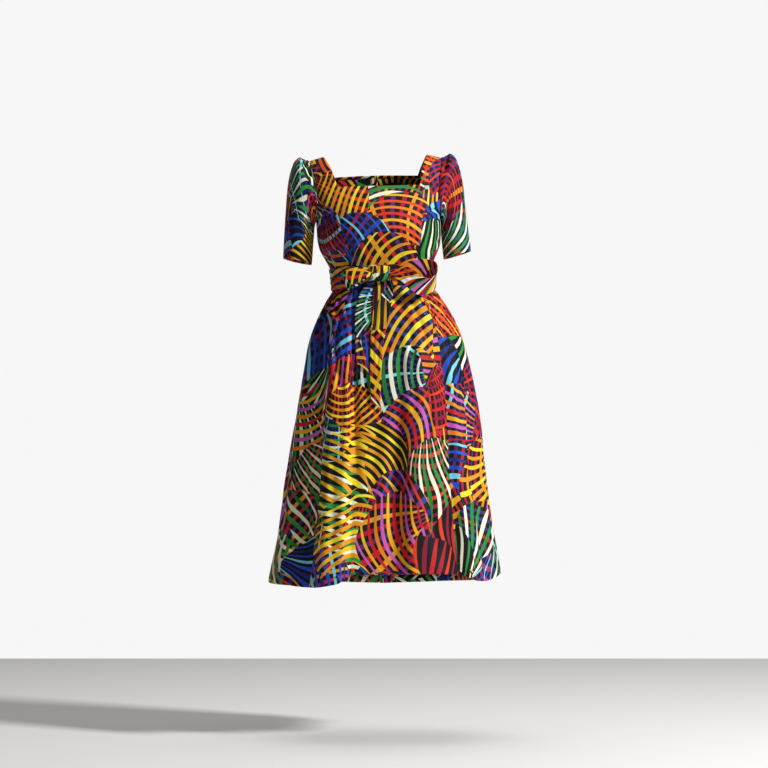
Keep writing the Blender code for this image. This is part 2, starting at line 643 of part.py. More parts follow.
def degrees_at(x, level):
    """The turn round the dress, near its front, at which its oval stands this far to the side."""
    angles = np.linspace(-60, 60, 241)
    found = [np.interp(a, oval(angles, b)[0], angles) for a, b in np.broadcast(x, level)]
    return np.array(found).reshape(np.broadcast(x, level).shape)


def bow_tail(name, rows, point):
    """One tail of the bow, hanging down the front of the skirt, its end cut on the slant."""
    down = np.linspace(rows[0].z, rows[-1].z, TAIL_ROWS + 1)[:, None]
    across = np.linspace(0, 1, TAIL_COLUMNS + 1)[None, :]
    left, right, off_left, off_right = (
        curve(rows[::-1], "z", column, down) for column in ("left", "right", "off_left", "off_right")
    )
    slant = ramp(-down, -rows[-2].z, -rows[-1].z) * point * across
    level = down + slant
    x = left * (1 - across) + right * across - curve(STANCE, "height", "sway", level)
    angle = degrees_at(x, level)
    off = (off_left * (1 - across) + off_right * across)[..., None]
    base = body_base(angle, level)
    normal = body_normal(angle, level)
    cloth(name, stand(base + normal * (off + BOW_WALL)), stand(base + normal * off), finish=SASH_COTTON)


def bow_knot():
    """The knot, a turn of sash wrapped over the roots of the loops, hollow where they pass through."""
    turn = np.radians(np.linspace(0, 360, KNOT_COLUMNS + 1))[:, None]
    across = np.linspace(-1, 1, KNOT_ROWS + 1)[None, :]
    faces = []
    for inward in (0.0, BOW_WALL):
        pinch = 1 - KNOT_PINCH * across**2
        depth = (KNOT_HALF[1] - inward) * pinch
        height = (KNOT_HALF[2] - inward) * pinch
        square = (np.abs(np.cos(turn)) ** 3 + np.abs(np.sin(turn)) ** 3) ** (-1 / 3)
        x = KNOT_CENTRE[0] + KNOT_HALF[0] * across + KNOT_TILT * height * square * np.sin(turn)
        y = KNOT_CENTRE[1] - depth * square * np.cos(turn)
        z = KNOT_CENTRE[2] + height * square * np.sin(turn)
        faces.append(np.stack(np.broadcast_arrays(x, y, z), -1))
        faces[-1][-1] = faces[-1][0]
    cloth("bow_knot", faces[0], faces[1], finish=SASH_COTTON, closed=True)


def clear_scene():
    for item in list(bpy.data.objects):
        bpy.data.objects.remove(item)


def main():
    clear_scene()
    bodice_front_centre()
    bodice_front_side("bodice_front_side_left", -1)
    bodice_front_side("bodice_front_side_right", 1)
    bodice_back("bodice_back_left", -1)
    bodice_back("bodice_back_right", 1)
    skirt_panel("skirt_front_centre", -PRINCESS_SKIRT, PRINCESS_SKIRT)
    skirt_panel("skirt_front_side_left", -90, -PRINCESS_SKIRT)
    skirt_panel("skirt_front_side_right", PRINCESS_SKIRT, 90)
    skirt_panel("skirt_back_left", -180, -90)
    skirt_panel("skirt_back_right", 90, 180)
    sleeve("sleeve_left", -1)
    sleeve("sleeve_right", 1)
    sash_band()
    bow_knot()
    bow_loop("bow_loop_left", LEFT_LOOP)
    bow_loop("bow_loop_right", RIGHT_LOOP)
    bow_tail("bow_tail_front", FRONT_TAIL, FRONT_TAIL_POINT)
    bow_tail("bow_tail_side", SIDE_TAIL, SIDE_TAIL_POINT)


main()
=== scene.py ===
"""Wax print midi dress: the cloth, its creases, sewing and print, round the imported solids.

Each panel is a thin shell of cotton laid on the outer form of its solid. A place on the dress is given
by the degrees round from the centre front and the level, as in the solids' own tables below. Metres, +Z
up, the front faces -Y.
"""

import math
from collections import namedtuple

import bmesh
import bpy
import numpy as np
from mathutils import Matrix, Vector, noise


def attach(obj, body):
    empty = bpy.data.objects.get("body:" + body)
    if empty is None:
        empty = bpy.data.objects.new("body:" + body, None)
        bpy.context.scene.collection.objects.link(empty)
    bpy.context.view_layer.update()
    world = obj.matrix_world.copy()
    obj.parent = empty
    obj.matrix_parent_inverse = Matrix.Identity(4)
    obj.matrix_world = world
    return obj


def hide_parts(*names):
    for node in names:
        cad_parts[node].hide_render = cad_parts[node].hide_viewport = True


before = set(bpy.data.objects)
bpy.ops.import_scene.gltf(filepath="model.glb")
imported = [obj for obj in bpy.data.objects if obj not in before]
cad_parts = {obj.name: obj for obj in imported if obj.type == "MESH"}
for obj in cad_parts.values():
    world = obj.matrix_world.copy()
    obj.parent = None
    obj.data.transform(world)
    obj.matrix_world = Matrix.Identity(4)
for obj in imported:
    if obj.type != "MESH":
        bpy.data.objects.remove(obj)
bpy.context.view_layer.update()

# Driving sizes, the same as the solids'
BOW_WALL = 0.0025
WAIST = -0.315
HIP = -0.40
HEM = -1.095
UNDERARM = -0.165
SEAM_TIP = -0.125
FRONT_NECK = -0.089
BACK_NECK = -0.050
SHOULDER = 0.030
OVAL = 0.04
PRINCESS_SKIRT = 36.5
FULLNESS = 0.009
FULLNESS_PLACE = (0.062, -0.205)
FULLNESS_REACH = (0.072, 0.052)
CENTRE_SOFT = 0.020
SHOULDER_DROP = 0.9
SLOPE_LEVEL = 0.01
FOLD_LENGTH = 0.30
FOLD_AT_LENGTH = 0.62
FOLD_ABOVE_HIP = -0.2
SASH_CLEAR = 0.001
SASH_MIDDLE = -0.3175
SASH_HALF = 0.0275
SLEEVE_LEAN = -0.0075
CAP_SHARE = 0.30

# Small steps at which a surface's direction is measured: in level, and in degrees
STEP = 1e-4
OVAL_STEP = 0.5
TURN_STEP = 0.05

# Cloth sizes: how thick it is, how far each point near an edge is drawn in and where, and the fold of a
# turned edge, as the reach, depth and length of cloth of each of its rows
COTTON_THICK = 0.0007
SASH_THICK = 0.0015
BOW_THICK = 0.0014
ROLL = [0.0006, 0.00022, 0.00005]
ROLL_AT = [0.0, 0.0007, 0.0017]
FOLD_UNDER = [(-0.00015, 0.0009, 0.0005), (0.0003, 0.0013, 0.0006), (0.0015, 0.0015, 0.0013)]
SEAM_ALLOWANCE = 0.010
SLEEVE_SEAM_TURN = 0.006
NECK_TURN = 0.009
HEM_TURN = 0.020
SASH_TURN = 0.004
TURNING_DEEPER = 0.0001

# Two points closer than this are one
SAME_PLACE = 1e-6

# Stitching: how far it runs inside a turning's edge, the length and gap of its stitches at the hem and at
# the cuffs, and its thread's half width and lift off the cloth
STITCH_INSET = 0.003
HEM_STITCH = (0.0030, 0.0014)
CUFF_STITCH = (0.0026, 0.0012)
THREAD_HALF = 0.00028
THREAD_LIFT = 0.00010

# The cloth's rows: how far apart they are on the bodice, under its arms and on the skirt, and how close
# two may lie
BODICE_ROW = 0.0042
UNDERARM_ROW = 0.0015
SKIRT_ROW = 0.0052
CLOSEST_ROWS = 0.0004

# The cloth's columns: how many each stretch of the bodice takes, the degrees to each on the skirt, how far
# a fold's line keeps from a seam, and how far into its first cell each column beside a seam may lie
FRONT_STRAP_COLUMNS = 9
FRONT_NECK_COLUMNS = 44
FRONT_SIDE_COLUMNS = 34
BACK_STRAP_COLUMNS = 22
BACK_NECK_COLUMNS = 18
SKIRT_COLUMN_DEGREES = 0.95
SEAM_CLEAR_DEGREES = 2
NEAR_EDGE_SHARES = (0.3, 0.6)

# The cap's pleats: how they spread on their way down, how much the cloth between them is sunk, in shares
# of their height, where they come up and start to die away along the sleeve, and how far round they go;
# then how far the middle of a crease bows aside, and the step along at which the direction is measured
PLEAT_SPREAD = 0.12
PLEAT_SUNK = 0.25
PLEAT_COMES = 0.035
PLEAT_DIES = 0.08
CAP_DEGREES = 74
CAP_FADE_DEGREES = 8
PULL_BOW = 0.002
ALONG_STEP = 0.01

# The sleeve's rough length and radius, by which its creases, rows and stitches are spaced
SLEEVE_LENGTH = 0.27
SLEEVE_RADIUS = 0.05

# The body of the dress at each level: its height, half width and depth in front and behind
Level = namedtuple("Level", "level height half_width front back")
BODY = [
    Level(-1.250, -1.250, 0.308, 0.225, 0.255),
    Level(HEM, HEM, 0.284, 0.205, 0.232),
    Level(-0.963, -0.963, 0.260, 0.190, 0.215),
    Level(-0.824, -0.824, 0.242, 0.174, 0.199),
    Level(-0.732, -0.732, 0.233, 0.165, 0.190),
    Level(-0.637, -0.637, 0.222, 0.157, 0.181),
    Level(-0.579, -0.579, 0.215, 0.151, 0.174),
    Level(-0.527, -0.527, 0.207, 0.145, 0.167),
    Level(-0.476, -0.476, 0.195, 0.137, 0.157),
    Level(-0.425, -0.425, 0.174, 0.125, 0.139),
    Level(-0.374, -0.374, 0.145, 0.110, 0.110),
    Level(-0.345, -0.345, 0.129, 0.100, 0.089),
    Level(WAIST, WAIST, 0.1275, 0.097, 0.081),
    Level(-0.290, -0.290, 0.1310, 0.099, 0.083),
    Level(-0.260, -0.260, 0.1440, 0.106, 0.088),
    Level(-0.235, -0.235, 0.1545, 0.114, 0.093),
    Level(-0.205, -0.205, 0.1580, 0.120, 0.098),
    Level(UNDERARM, UNDERARM, 0.1580, 0.118, 0.102),
    Level(-0.145, -0.145, 0.1670, 0.114, 0.103),
    Level(-0.123, -0.123, 0.1735, 0.107, 0.102),
    Level(-0.100, -0.100, 0.1755, 0.098, 0.099),
    Level(-0.060, -0.060, 0.1800, 0.076, 0.084),
    Level(-0.030, -0.032, 0.1850, 0.055, 0.063),
    Level(0.000, -0.011, 0.1880, 0.031, 0.036),
    Level(0.018, -0.002, 0.1895, 0.013, 0.015),
    Level(SHOULDER, 0.000, 0.1900, 0.000, 0.000),
]

# Where the cut edges of the bodice run, in degrees round from the centre front or the centre back
Edge = namedtuple("Edge", "level princess armhole strap")
EDGES = [
    Edge(WAIST, 36.5, 90.0, 24.0),
    Edge(-0.250, 35.0, 90.0, 25.0),
    Edge(-0.200, 35.5, 90.0, 27.0),
    Edge(UNDERARM, 37.8, 90.0, 29.0),
    Edge(-0.158, 39.0, 78.0, 29.5),
    Edge(-0.150, 40.8, 70.0, 30.0),
    Edge(-0.138, 47.5, 63.8, 30.6),
    Edge(SEAM_TIP, 59.5, 60.0, 31.2),
    Edge(-0.100, 58.2, 58.2, 32.0),
    Edge(FRONT_NECK, 58.2, 58.2, 32.3),
    Edge(BACK_NECK, 58.4, 58.4, 34.2),
    Edge(0.000, 58.5, 58.5, 38.2),
    Edge(SHOULDER, 58.5, 58.5, 39.8),
]

# How the wearer stands: the body's sideways sway, the rise of its right side and its turn, in degrees
Stance = namedtuple("Stance", "height sway rise turn")
STANCE = [
    Stance(-1.250, 0.004, 0.000, 0.0),
    Stance(-1.095, 0.007, 0.000, 0.0),
    Stance(-0.800, 0.012, 0.000, 0.0),
    Stance(-0.600, 0.015, 0.000, 0.0),
    Stance(-0.450, 0.011, 0.012, 0.5),
    Stance(-0.360, 0.005, 0.040, 1.5),
    Stance(-0.300, 0.001, 0.045, 2.5),
    Stance(-0.200, -0.006, 0.038, 4.0),
    Stance(-0.082, -0.012, 0.034, 4.0),
    Stance(0.020, -0.016, 0.033, 4.0),
]

# The skirt's unpressed folds: each stands out between two flanks, in degrees at the hip and at the hem
Fold = namedtuple("Fold", "left_hip left_hem rise right_hip right_hem fall height start")
FOLDS = [
    Fold(-45.0, -31.5, 11.0, -28.5, -16.6, 3.6, 0.030, -0.345),
    Fold(14.5, 8.6, 8.0, 32.0, 31.0, 12.0, 0.028, -0.360),
    Fold(40.0, 39.5, 7.0, 50.0, 55.0, 7.0, 0.017, -0.420),
    Fold(68.0, 67.0, 9.0, 88.0, 86.0, 9.0, 0.017, -0.430),
    Fold(-82.0, -79.0, 12.0, -58.0, -55.0, 11.0, 0.018, -0.420),
    Fold(102.0, 101.0, 9.0, 122.0, 119.0, 9.0, 0.022, -0.400),
    Fold(140.0, 138.0, 9.0, 158.0, 157.0, 9.0, 0.026, -0.380),
    Fold(-122.0, -120.0, 9.0, -102.0, -101.0, 9.0, 0.022, -0.400),
    Fold(-159.0, -157.0, 9.0, -139.0, -137.0, 9.0, 0.026, -0.380),
]

# How far the hem hangs below its level, in degrees round from the centre front
Hang = namedtuple("Hang", "angle drop")
HEM_LINE = [
    Hang(-180.0, 0.012),
    Hang(-130.0, 0.004),
    Hang(-90.0, -0.004),
    Hang(-60.0, 0.000),
    Hang(-34.0, 0.006),
    Hang(-20.0, -0.004),
    Hang(-13.0, -0.027),
    Hang(10.0, -0.029),
    Hang(34.0, -0.028),
    Hang(48.0, -0.010),
    Hang(62.0, -0.008),
    Hang(76.0, -0.024),
    Hang(95.0, -0.020),
    Hang(130.0, 0.002),
    Hang(180.0, 0.012),
]

# The sleeve from the armhole to the cuff: its outer and inner lines and its half depth
Section = namedtuple("Section", "along outer_x outer_z inner_x inner_z depth")
SLEEVE = [
    Section(0.00, 0.1690, -0.0105, 0.1580, -0.1650, 0.050),
    Section(0.06, 0.1770, 0.0015, 0.1592, -0.1690, 0.053),
    Section(0.14, 0.1900, 0.0040, 0.1605, -0.1735, 0.056),
    Section(0.24, 0.2050, -0.0090, 0.1615, -0.1790, 0.057),
    Section(0.36, 0.2175, -0.0400, 0.1625, -0.1880, 0.055),
    Section(0.50, 0.2260, -0.0850, 0.1632, -0.2010, 0.052),
    Section(0.66, 0.2310, -0.1390, 0.1645, -0.2200, 0.049),
    Section(0.83, 0.2360, -0.1980, 0.1665, -0.2470, 0.046),
    Section(1.00, 0.2415, -0.2570, 0.1690, -0.2760, 0.044),
]

# The small pleats that draw the cap into the armhole: degrees round from its top line, half width in
# degrees, height and how far along the sleeve each one reaches
Pleat = namedtuple("Pleat", "turn half height reach")
PLEATS = [
    Pleat(-68.0, 5.0, 0.0027, 0.20),
    Pleat(-56.0, 4.4, 0.0041, 0.30),
    Pleat(-45.5, 4.0, 0.0032, 0.22),
    Pleat(-34.0, 4.8, 0.0049, 0.42),
    Pleat(-23.5, 3.8, 0.0038, 0.26),
    Pleat(-13.0, 4.4, 0.0051, 0.36),
    Pleat(-3.0, 3.6, 0.0035, 0.24),
    Pleat(7.5, 4.6, 0.0049, 0.40),
    Pleat(18.5, 3.8, 0.0035, 0.25),
    Pleat(29.0, 4.6, 0.0051, 0.44),
    Pleat(40.5, 4.2, 0.0038, 0.28),
    Pleat(52.0, 4.8, 0.0043, 0.34),
    Pleat(64.0, 5.0, 0.0030, 0.20),
]

# Soft creases of the sleeve: from one place to another, turn in degrees and share along
Pull = namedtuple("Pull", "turn_1 along_1 turn_2 along_2 width depth")
SLEEVE_PULLS = [
    Pull(150.0, 0.28, 95.0, 0.62, 0.010, 0.0022),
    Pull(165.0, 0.50, 100.0, 0.80, 0.009, 0.0018),
    Pull(60.0, 0.42, 95.0, 0.86, 0.012, 0.0016),
    Pull(20.0, 0.55, 40.0, 0.98, 0.013, 0.0012),
    Pull(205.0, 0.30, 262.0, 0.60, 0.010, 0.0022),
    Pull(198.0, 0.55, 255.0, 0.84, 0.009, 0.0018),
    Pull(300.0, 0.45, 268.0, 0.90, 0.012, 0.0015),
    Pull(338.0, 0.60, 322.0, 0.99, 0.013, 0.0012),
]

# The two loops of the bow, as a ribbon followed out from the knot and back: its middle line, its half
# width and the lean of its upper edge, out to the side and forward
Ribbon = namedtuple("Ribbon", "x y z half_width lean_x lean_y")
RIGHT_LOOP = [
    Ribbon(0.0040, -0.1151, -0.3135, 0.0080, 0.00, 0.00),
    Ribbon(0.0245, -0.1151, -0.3125, 0.0085, 0.00, 0.00),
    Ribbon(0.0400, -0.1135, -0.3080, 0.0135, 0.00, 0.00),
    Ribbon(0.0700, -0.1120, -0.3015, 0.0195, 0.05, 0.05),
    Ribbon(0.1000, -0.1080, -0.2985, 0.0225, 0.08, 0.10),
    Ribbon(0.1260, -0.1030, -0.3020, 0.0240, 0.08, 0.15),
    Ribbon(0.1385, -0.1070, -0.3110, 0.0245, 0.10, 0.25),
    Ribbon(0.1400, -0.1200, -0.3240, 0.0245, 0.15, 0.30),
    Ribbon(0.1300, -0.1340, -0.3410, 0.0240, 0.30, 0.25),
    Ribbon(0.1080, -0.1410, -0.3490, 0.0235, 0.45, 0.15),
    Ribbon(0.0800, -0.1400, -0.3340, 0.0225, 0.42, 0.10),
    Ribbon(0.0540, -0.1340, -0.3150, 0.0195, 0.25, 0.05),
    Ribbon(0.0360, -0.1285, -0.3140, 0.0125, 0.10, 0.00),
    Ribbon(0.0245, -0.1253, -0.3140, 0.0085, 0.03, 0.00),
    Ribbon(0.0040, -0.1253, -0.3135, 0.0080, 0.00, 0.00),
]
LEFT_LOOP = [
    Ribbon(-0.0060, -0.1253, -0.3135, 0.0080, 0.00, 0.00),
    Ribbon(-0.0255, -0.1253, -0.3125, 0.0085, 0.00, 0.00),
    Ribbon(-0.0370, -0.1275, -0.3120, 0.0130, -0.08, 0.00),
    Ribbon(-0.0560, -0.1300, -0.3170, 0.0185, -0.20, 0.05),
    Ribbon(-0.0740, -0.1300, -0.3240, 0.0220, -0.35, 0.05),
    Ribbon(-0.0880, -0.1255, -0.3310, 0.0225, -0.48, 0.05),
    Ribbon(-0.0925, -0.1180, -0.3340, 0.0225, -0.50, 0.05),
    Ribbon(-0.0870, -0.1105, -0.3330, 0.0220, -0.45, 0.00),
    Ribbon(-0.0720, -0.1110, -0.3290, 0.0205, -0.30, 0.00),
    Ribbon(-0.0540, -0.1130, -0.3220, 0.0175, -0.15, 0.00),
    Ribbon(-0.0370, -0.1150, -0.3150, 0.0125, -0.05, 0.00),
    Ribbon(-0.0255, -0.1151, -0.3135, 0.0085, 0.00, 0.00),
    Ribbon(-0.0060, -0.1151, -0.3135, 0.0080, 0.00, 0.00),
]

# The tails of the bow, over the skirt: their two edges at each height, and how far they stand off it
Hanging = namedtuple("Hanging", "z left right off_left off_right")
FRONT_TAIL = [
    Hanging(-0.312, -0.014, 0.016, 0.0089, 0.0089),
    Hanging(-0.332, -0.019, 0.023, 0.0089, 0.0089),
    Hanging(-0.350, -0.020, 0.028, 0.0089, 0.0089),
    Hanging(-0.375, -0.021, 0.027, 0.0080, 0.0080),
    Hanging(-0.405, -0.022, 0.023, 0.0060, 0.0075),
    Hanging(-0.440, -0.024, 0.017, 0.0060, 0.0075),
    Hanging(-0.475, -0.026, 0.010, 0.0060, 0.0090),
    Hanging(-0.510, -0.027, 0.005, 0.0060, 0.0100),
    Hanging(-0.560, -0.027, 0.002, 0.0060, 0.0090),
    Hanging(-0.610, -0.026, 0.000, 0.0055, 0.0080),
    Hanging(-0.655, -0.024, -0.001, 0.0055, 0.0070),
]
SIDE_TAIL = [
    Hanging(-0.312, -0.020, 0.010, 0.0060, 0.0060),
    Hanging(-0.335, -0.036, 0.006, 0.0060, 0.0060),
    Hanging(-0.360, -0.052, -0.006, 0.0060, 0.0052),
    Hanging(-0.390, -0.062, -0.014, 0.0050, 0.0020),
    Hanging(-0.425, -0.066, -0.020, 0.0050, 0.0020),
    Hanging(-0.465, -0.066, -0.023, 0.0045, 0.0020),
    Hanging(-0.505, -0.063, -0.024, 0.0040, 0.0020),
    Hanging(-0.545, -0.060, -0.026, 0.0040, 0.0020),
]
FRONT_TAIL_POINT = -0.012
SIDE_TAIL_POINT = -0.034

# The knot: a turn of the sash wrapped over the middle of the bow
KNOT_CENTRE = (-0.0005, -0.1202, -0.3135)
KNOT_HALF = (0.0235, 0.0106, 0.0210)
KNOT_PINCH = 0.16
KNOT_TILT = 0.10

# Creases of the body of the dress: from one place to another, each by its degrees and level; half width,
# depth, and how far its middle bows to the side. A depth below nought is a ridge
Crease = namedtuple("Crease", "angle_1 level_1 angle_2 level_2 width depth bow")
CREASES = [
    # Skirt front
    Crease(-48, -0.352, -39.0, -0.428, 0.0060, 0.0056, 0.004),
    Crease(-37.5, -0.410, -24.5, -0.633, 0.0080, 0.0078, 0.006),
    Crease(-61.8, -0.360, -30.0, -0.432, 0.0065, 0.0044, 0.006),
    Crease(-70.0, -0.352, -59.2, -0.556, 0.0130, 0.0067, -0.008),
    Crease(-62.0, -0.500, -40.0, -1.060, 0.0150, 0.0058, 0.012),
    Crease(-21.0, -0.420, -13.5, -0.900, 0.0070, 0.0083, 0.004),
    Crease(-14.0, -0.365, -8.0, -0.520, 0.0080, 0.0051, 0.003),
    Crease(-3.5, -0.620, -5.2, -1.060, 0.0160, 0.0054, 0.006),
    Crease(15.2, -0.440, 12.2, -0.780, 0.0090, 0.0061, -0.004),
    Crease(5.5, -0.700, 3.5, -1.085, 0.0150, 0.0092, 0.005),
    Crease(24.0, -0.356, 27.0, -0.500, 0.0080, 0.0054, 0.004),
    Crease(26.8, -0.463, 22.0, -0.900, 0.0140, 0.0042, 0.006),
    Crease(36.0, -0.352, 46.0, -0.520, 0.0090, 0.0058, -0.006),
    Crease(48.5, -0.384, 47.0, -0.740, 0.0100, 0.0048, 0.005),
    Crease(63.5, -0.560, 50.8, -0.850, 0.0080, 0.0067, 0.006),
    Crease(50.8, -0.820, 62.2, -1.080, 0.0090, 0.0058, -0.006),
    Crease(20.0, -0.860, 27.0, -1.090, 0.0120, 0.0042, 0.004),
    Crease(-28.0, -0.760, -22.0, -1.085, 0.0100, 0.0048, 0.003),
    Crease(-46.0, -0.860, -39.0, -1.090, 0.0110, 0.0054, 0.005),
    Crease(-78.0, -0.560, -66.0, -0.980, 0.0130, 0.0054, 0.008),
    Crease(70.0, -0.352, 78.0, -0.470, 0.0070, 0.0054, 0.003),
    Crease(80.0, -0.700, 74.0, -1.080, 0.0120, 0.0054, 0.006),
    # Small gathers under the sash
    Crease(-84, -0.348, -80, -0.430, 0.0055, 0.0045, 0.002),
    Crease(-31, -0.348, -28, -0.400, 0.0045, 0.0038, 0.002),
    Crease(9, -0.350, 12, -0.405, 0.0045, 0.0035, 0.002),
    Crease(31, -0.348, 37, -0.420, 0.0050, 0.0042, 0.002),
    Crease(56, -0.348, 62, -0.440, 0.0060, 0.0051, 0.003),
    Crease(88, -0.348, 92, -0.440, 0.0060, 0.0048, 0.003),
    # Skirt back
    Crease(100, -0.350, 108, -0.520, 0.0080, 0.0064, 0.004),
    Crease(118, -0.348, 124, -0.450, 0.0060, 0.0054, 0.003),
    Crease(131, -0.352, 133, -0.640, 0.0100, 0.0074, 0.006),
    Crease(146, -0.348, 149, -0.430, 0.0060, 0.0051, 0.002),
    Crease(163, -0.350, 166, -0.600, 0.0090, 0.0067, -0.005),
    Crease(178, -0.352, 178, -0.470, 0.0070, 0.0045, 0.002),
    Crease(-168, -0.348, -171, -0.520, 0.0080, 0.0061, 0.004),
    Crease(-151, -0.348, -150, -0.440, 0.0060, 0.0051, 0.002),
    Crease(-134, -0.350, -129, -0.680, 0.0110, 0.0074, -0.006),
    Crease(-117, -0.348, -113, -0.440, 0.0060, 0.0054, 0.003),
    Crease(-99, -0.350, -95, -0.560, 0.0090, 0.0061, 0.004),
    Crease(112, -0.600, 110, -1.080, 0.0150, 0.0064, 0.008),
    Crease(128, -0.780, 130, -1.090, 0.0120, 0.0070, -0.005),
    Crease(149, -0.560, 147, -1.060, 0.0140, 0.0048, 0.006),
    Crease(170, -0.700, 172, -1.090, 0.0150, 0.0070, 0.006),
    Crease(-172, -0.560, -174, -0.900, 0.0120, 0.0054, -0.005),
    Crease(-148, -0.640, -146, -1.080, 0.0140, 0.0051, 0.006),
    Crease(-128, -0.820, -127, -1.090, 0.0120, 0.0070, 0.005),
    Crease(-108, -0.620, -111, -1.070, 0.0140, 0.0061, -0.006),
    # Bodice front
    Crease(-76.0, -0.172, -50.0, -0.196, 0.0070, 0.0035, -0.004),
    Crease(-64.0, -0.148, -42.0, -0.180, 0.0065, 0.0030, -0.003),
    Crease(-80.0, -0.214, -56.0, -0.226, 0.0070, 0.0030, 0.003),
    Crease(-86.0, -0.268, -52.0, -0.262, 0.0060, 0.0035, -0.004),
    Crease(-78.0, -0.284, -44.0, -0.276, 0.0050, 0.0032, -0.003),
    Crease(-60.2, -0.250, -38.0, -0.282, 0.0060, 0.0027, 0.003),
    Crease(-31.0, -0.230, -27.0, -0.285, 0.0090, 0.0018, 0.002),
    Crease(-14.0, -0.236, -9.0, -0.286, 0.0100, 0.0014, 0.002),
    Crease(16.0, -0.252, 11.0, -0.286, 0.0090, 0.0013, -0.002),
    Crease(33.0, -0.226, 29.0, -0.285, 0.0090, 0.0017, -0.002),
    Crease(60.0, -0.146, 41.0, -0.176, 0.0065, 0.0030, 0.003),
    Crease(76.0, -0.170, 52.0, -0.192, 0.0070, 0.0035, 0.004),
    Crease(84.0, -0.222, 58.0, -0.234, 0.0070, 0.0030, -0.003),
    Crease(84.0, -0.270, 50.0, -0.258, 0.0060, 0.0035, 0.004),
    Crease(76.0, -0.284, 46.0, -0.280, 0.0050, 0.0030, 0.003),
    Crease(-44.0, -0.060, -40.0, -0.112, 0.0060, 0.0019, 0.002),
    Crease(45.0, -0.060, 41.0, -0.110, 0.0060, 0.0019, -0.002),
    Crease(-20.0, -0.094, -4.0, -0.106, 0.0080, 0.0019, -0.002),
    Crease(6.0, -0.095, 24.0, -0.108, 0.0080, 0.0019, 0.002),
    # Bodice back
    Crease(104.0, -0.176, 128.0, -0.196, 0.0080, 0.0035, 0.004),
    Crease(98.0, -0.268, 150.0, -0.256, 0.0070, 0.0041, -0.005),
    Crease(110.0, -0.285, 168.0, -0.274, 0.0060, 0.0038, -0.004),
    Crease(136.0, -0.236, 172.0, -0.246, 0.0080, 0.0030, 0.004),
    Crease(147.0, -0.130, 150.0, -0.262, 0.0100, 0.0027, 0.004),
    Crease(-104.0, -0.178, -130.0, -0.194, 0.0080, 0.0035, -0.004),
    Crease(-98.0, -0.264, -148.0, -0.252, 0.0070, 0.0041, 0.005),
    Crease(-112.0, -0.284, -170.0, -0.276, 0.0060, 0.0038, 0.004),
    Crease(-138.0, -0.232, -174.0, -0.244, 0.0080, 0.0030, -0.004),
    Crease(-147.0, -0.134, -149.0, -0.258, 0.0100, 0.0027, -0.004),
    Crease(150.0, -0.062, 176.0, -0.074, 0.0080, 0.0019, 0.003),
    Crease(-151.0, -0.064, -175.0, -0.076, 0.0080, 0.0019, -0.003),
]

# A crease's form, in shares of its width, depth and length: its width at its start and how much it widens,
# how steep its two sides are, the soft rise beside it, and where along it it comes up and dies away
CREASE_START_WIDTH = 0.65
CREASE_WIDENS = 0.5
CREASE_STEEP_SIDE = 0.72
CREASE_SOFT_SIDE = 1.18
CREASE_RISE = 0.28
CREASE_RISE_AWAY = 1.9
CREASE_COMES = (-0.12, 0.28)
CREASE_DIES = (0.55, 1.12)

# A crease is worked out only this near to its own levels, and places round the dress are measured in
# metres as their angle times this share of the half width
CREASE_MARGIN = 0.05
GIRTH_SHARE = 0.9

# The cloth's small unevenness: how often it changes round and down the dress, how much finer its second
# part is, the heights of both, and how much more there is on the skirt, from one level to another
UNEVEN_ROUND = 2.6
UNEVEN_DOWN = 7.0
FINER = 2.7
COARSE_HEIGHT = 0.0016
FINE_HEIGHT = 0.0006
SKIRT_MORE = 0.8
SKIRT_MORE_LEVELS = (0.36, 0.75)

# Where the dress's cloth lies still: near the middle of the sash, and over the shoulder line
SASH_STILL = (0.026, 0.040)
SHOULDER_STILL = (-0.02, 0.02)

# Lengthwise folds of the sash: where each runs across it, from -1 at its lower edge to 1, and how deep
SashFold = namedtuple("SashFold", "angle low low_depth middle middle_depth high high_depth")
SASH_FOLDS = [
    SashFold(-180, -0.52, 0.0008, 0.02, 0.0010, 0.50, 0.0007),
    SashFold(-120, -0.44, 0.0012, 0.10, 0.0007, 0.58, 0.0010),
    SashFold(-75, -0.56, 0.0015, -0.06, 0.0014, 0.46, 0.0012),
    SashFold(-50, -0.46, 0.0018, 0.06, 0.0017, 0.56, 0.0015),
    SashFold(-26, -0.36, 0.0019, 0.02, 0.0019, 0.40, 0.0018),
    SashFold(-8, -0.20, 0.0016, 0.00, 0.0016, 0.22, 0.0016),
    SashFold(12, -0.22, 0.0016, -0.01, 0.0016, 0.20, 0.0016),
    SashFold(34, -0.42, 0.0018, 0.05, 0.0018, 0.44, 0.0017),
    SashFold(62, -0.54, 0.0014, -0.04, 0.0013, 0.50, 0.0014),
    SashFold(110, -0.48, 0.0010, 0.08, 0.0009, 0.60, 0.0008),
    SashFold(180, -0.52, 0.0008, 0.02, 0.0010, 0.50, 0.0007),
]

# How the sash stands off the dress: at its edges, and how much more in its middle; its folds' width across
# it and how sharply their lower and upper sides fall; and how deep and how close its pinches are
SASH_OUT = 0.0021
SASH_CROWN = 0.0022
SASH_FOLD_WIDTH = 0.15
SASH_FOLD_SOFT = 0.8
SASH_FOLD_STEEP = 2.2
PINCH_DEPTH = 0.0006
PINCH_WAVES = 9.0

# Where the sash is pinched across, in degrees round from the centre front
Pinch = namedtuple("Pinch", "turn width strength")
SASH_PINCHES = [
    Pinch(-66, 5.0, 1.0),
    Pinch(-78, 4.0, 0.6),
]

# Folds of the bow's loops, by their place across the ribbon from -1 to 1. A depth below nought is a ridge
LoopFold = namedtuple("LoopFold", "place depth width")
LOOP_FOLDS = [
    LoopFold(-0.62, 0.0016, 0.16),
    LoopFold(-0.18, -0.0014, 0.18),
    LoopFold(0.22, 0.0017, 0.16),
    LoopFold(0.66, -0.0013, 0.18),
]

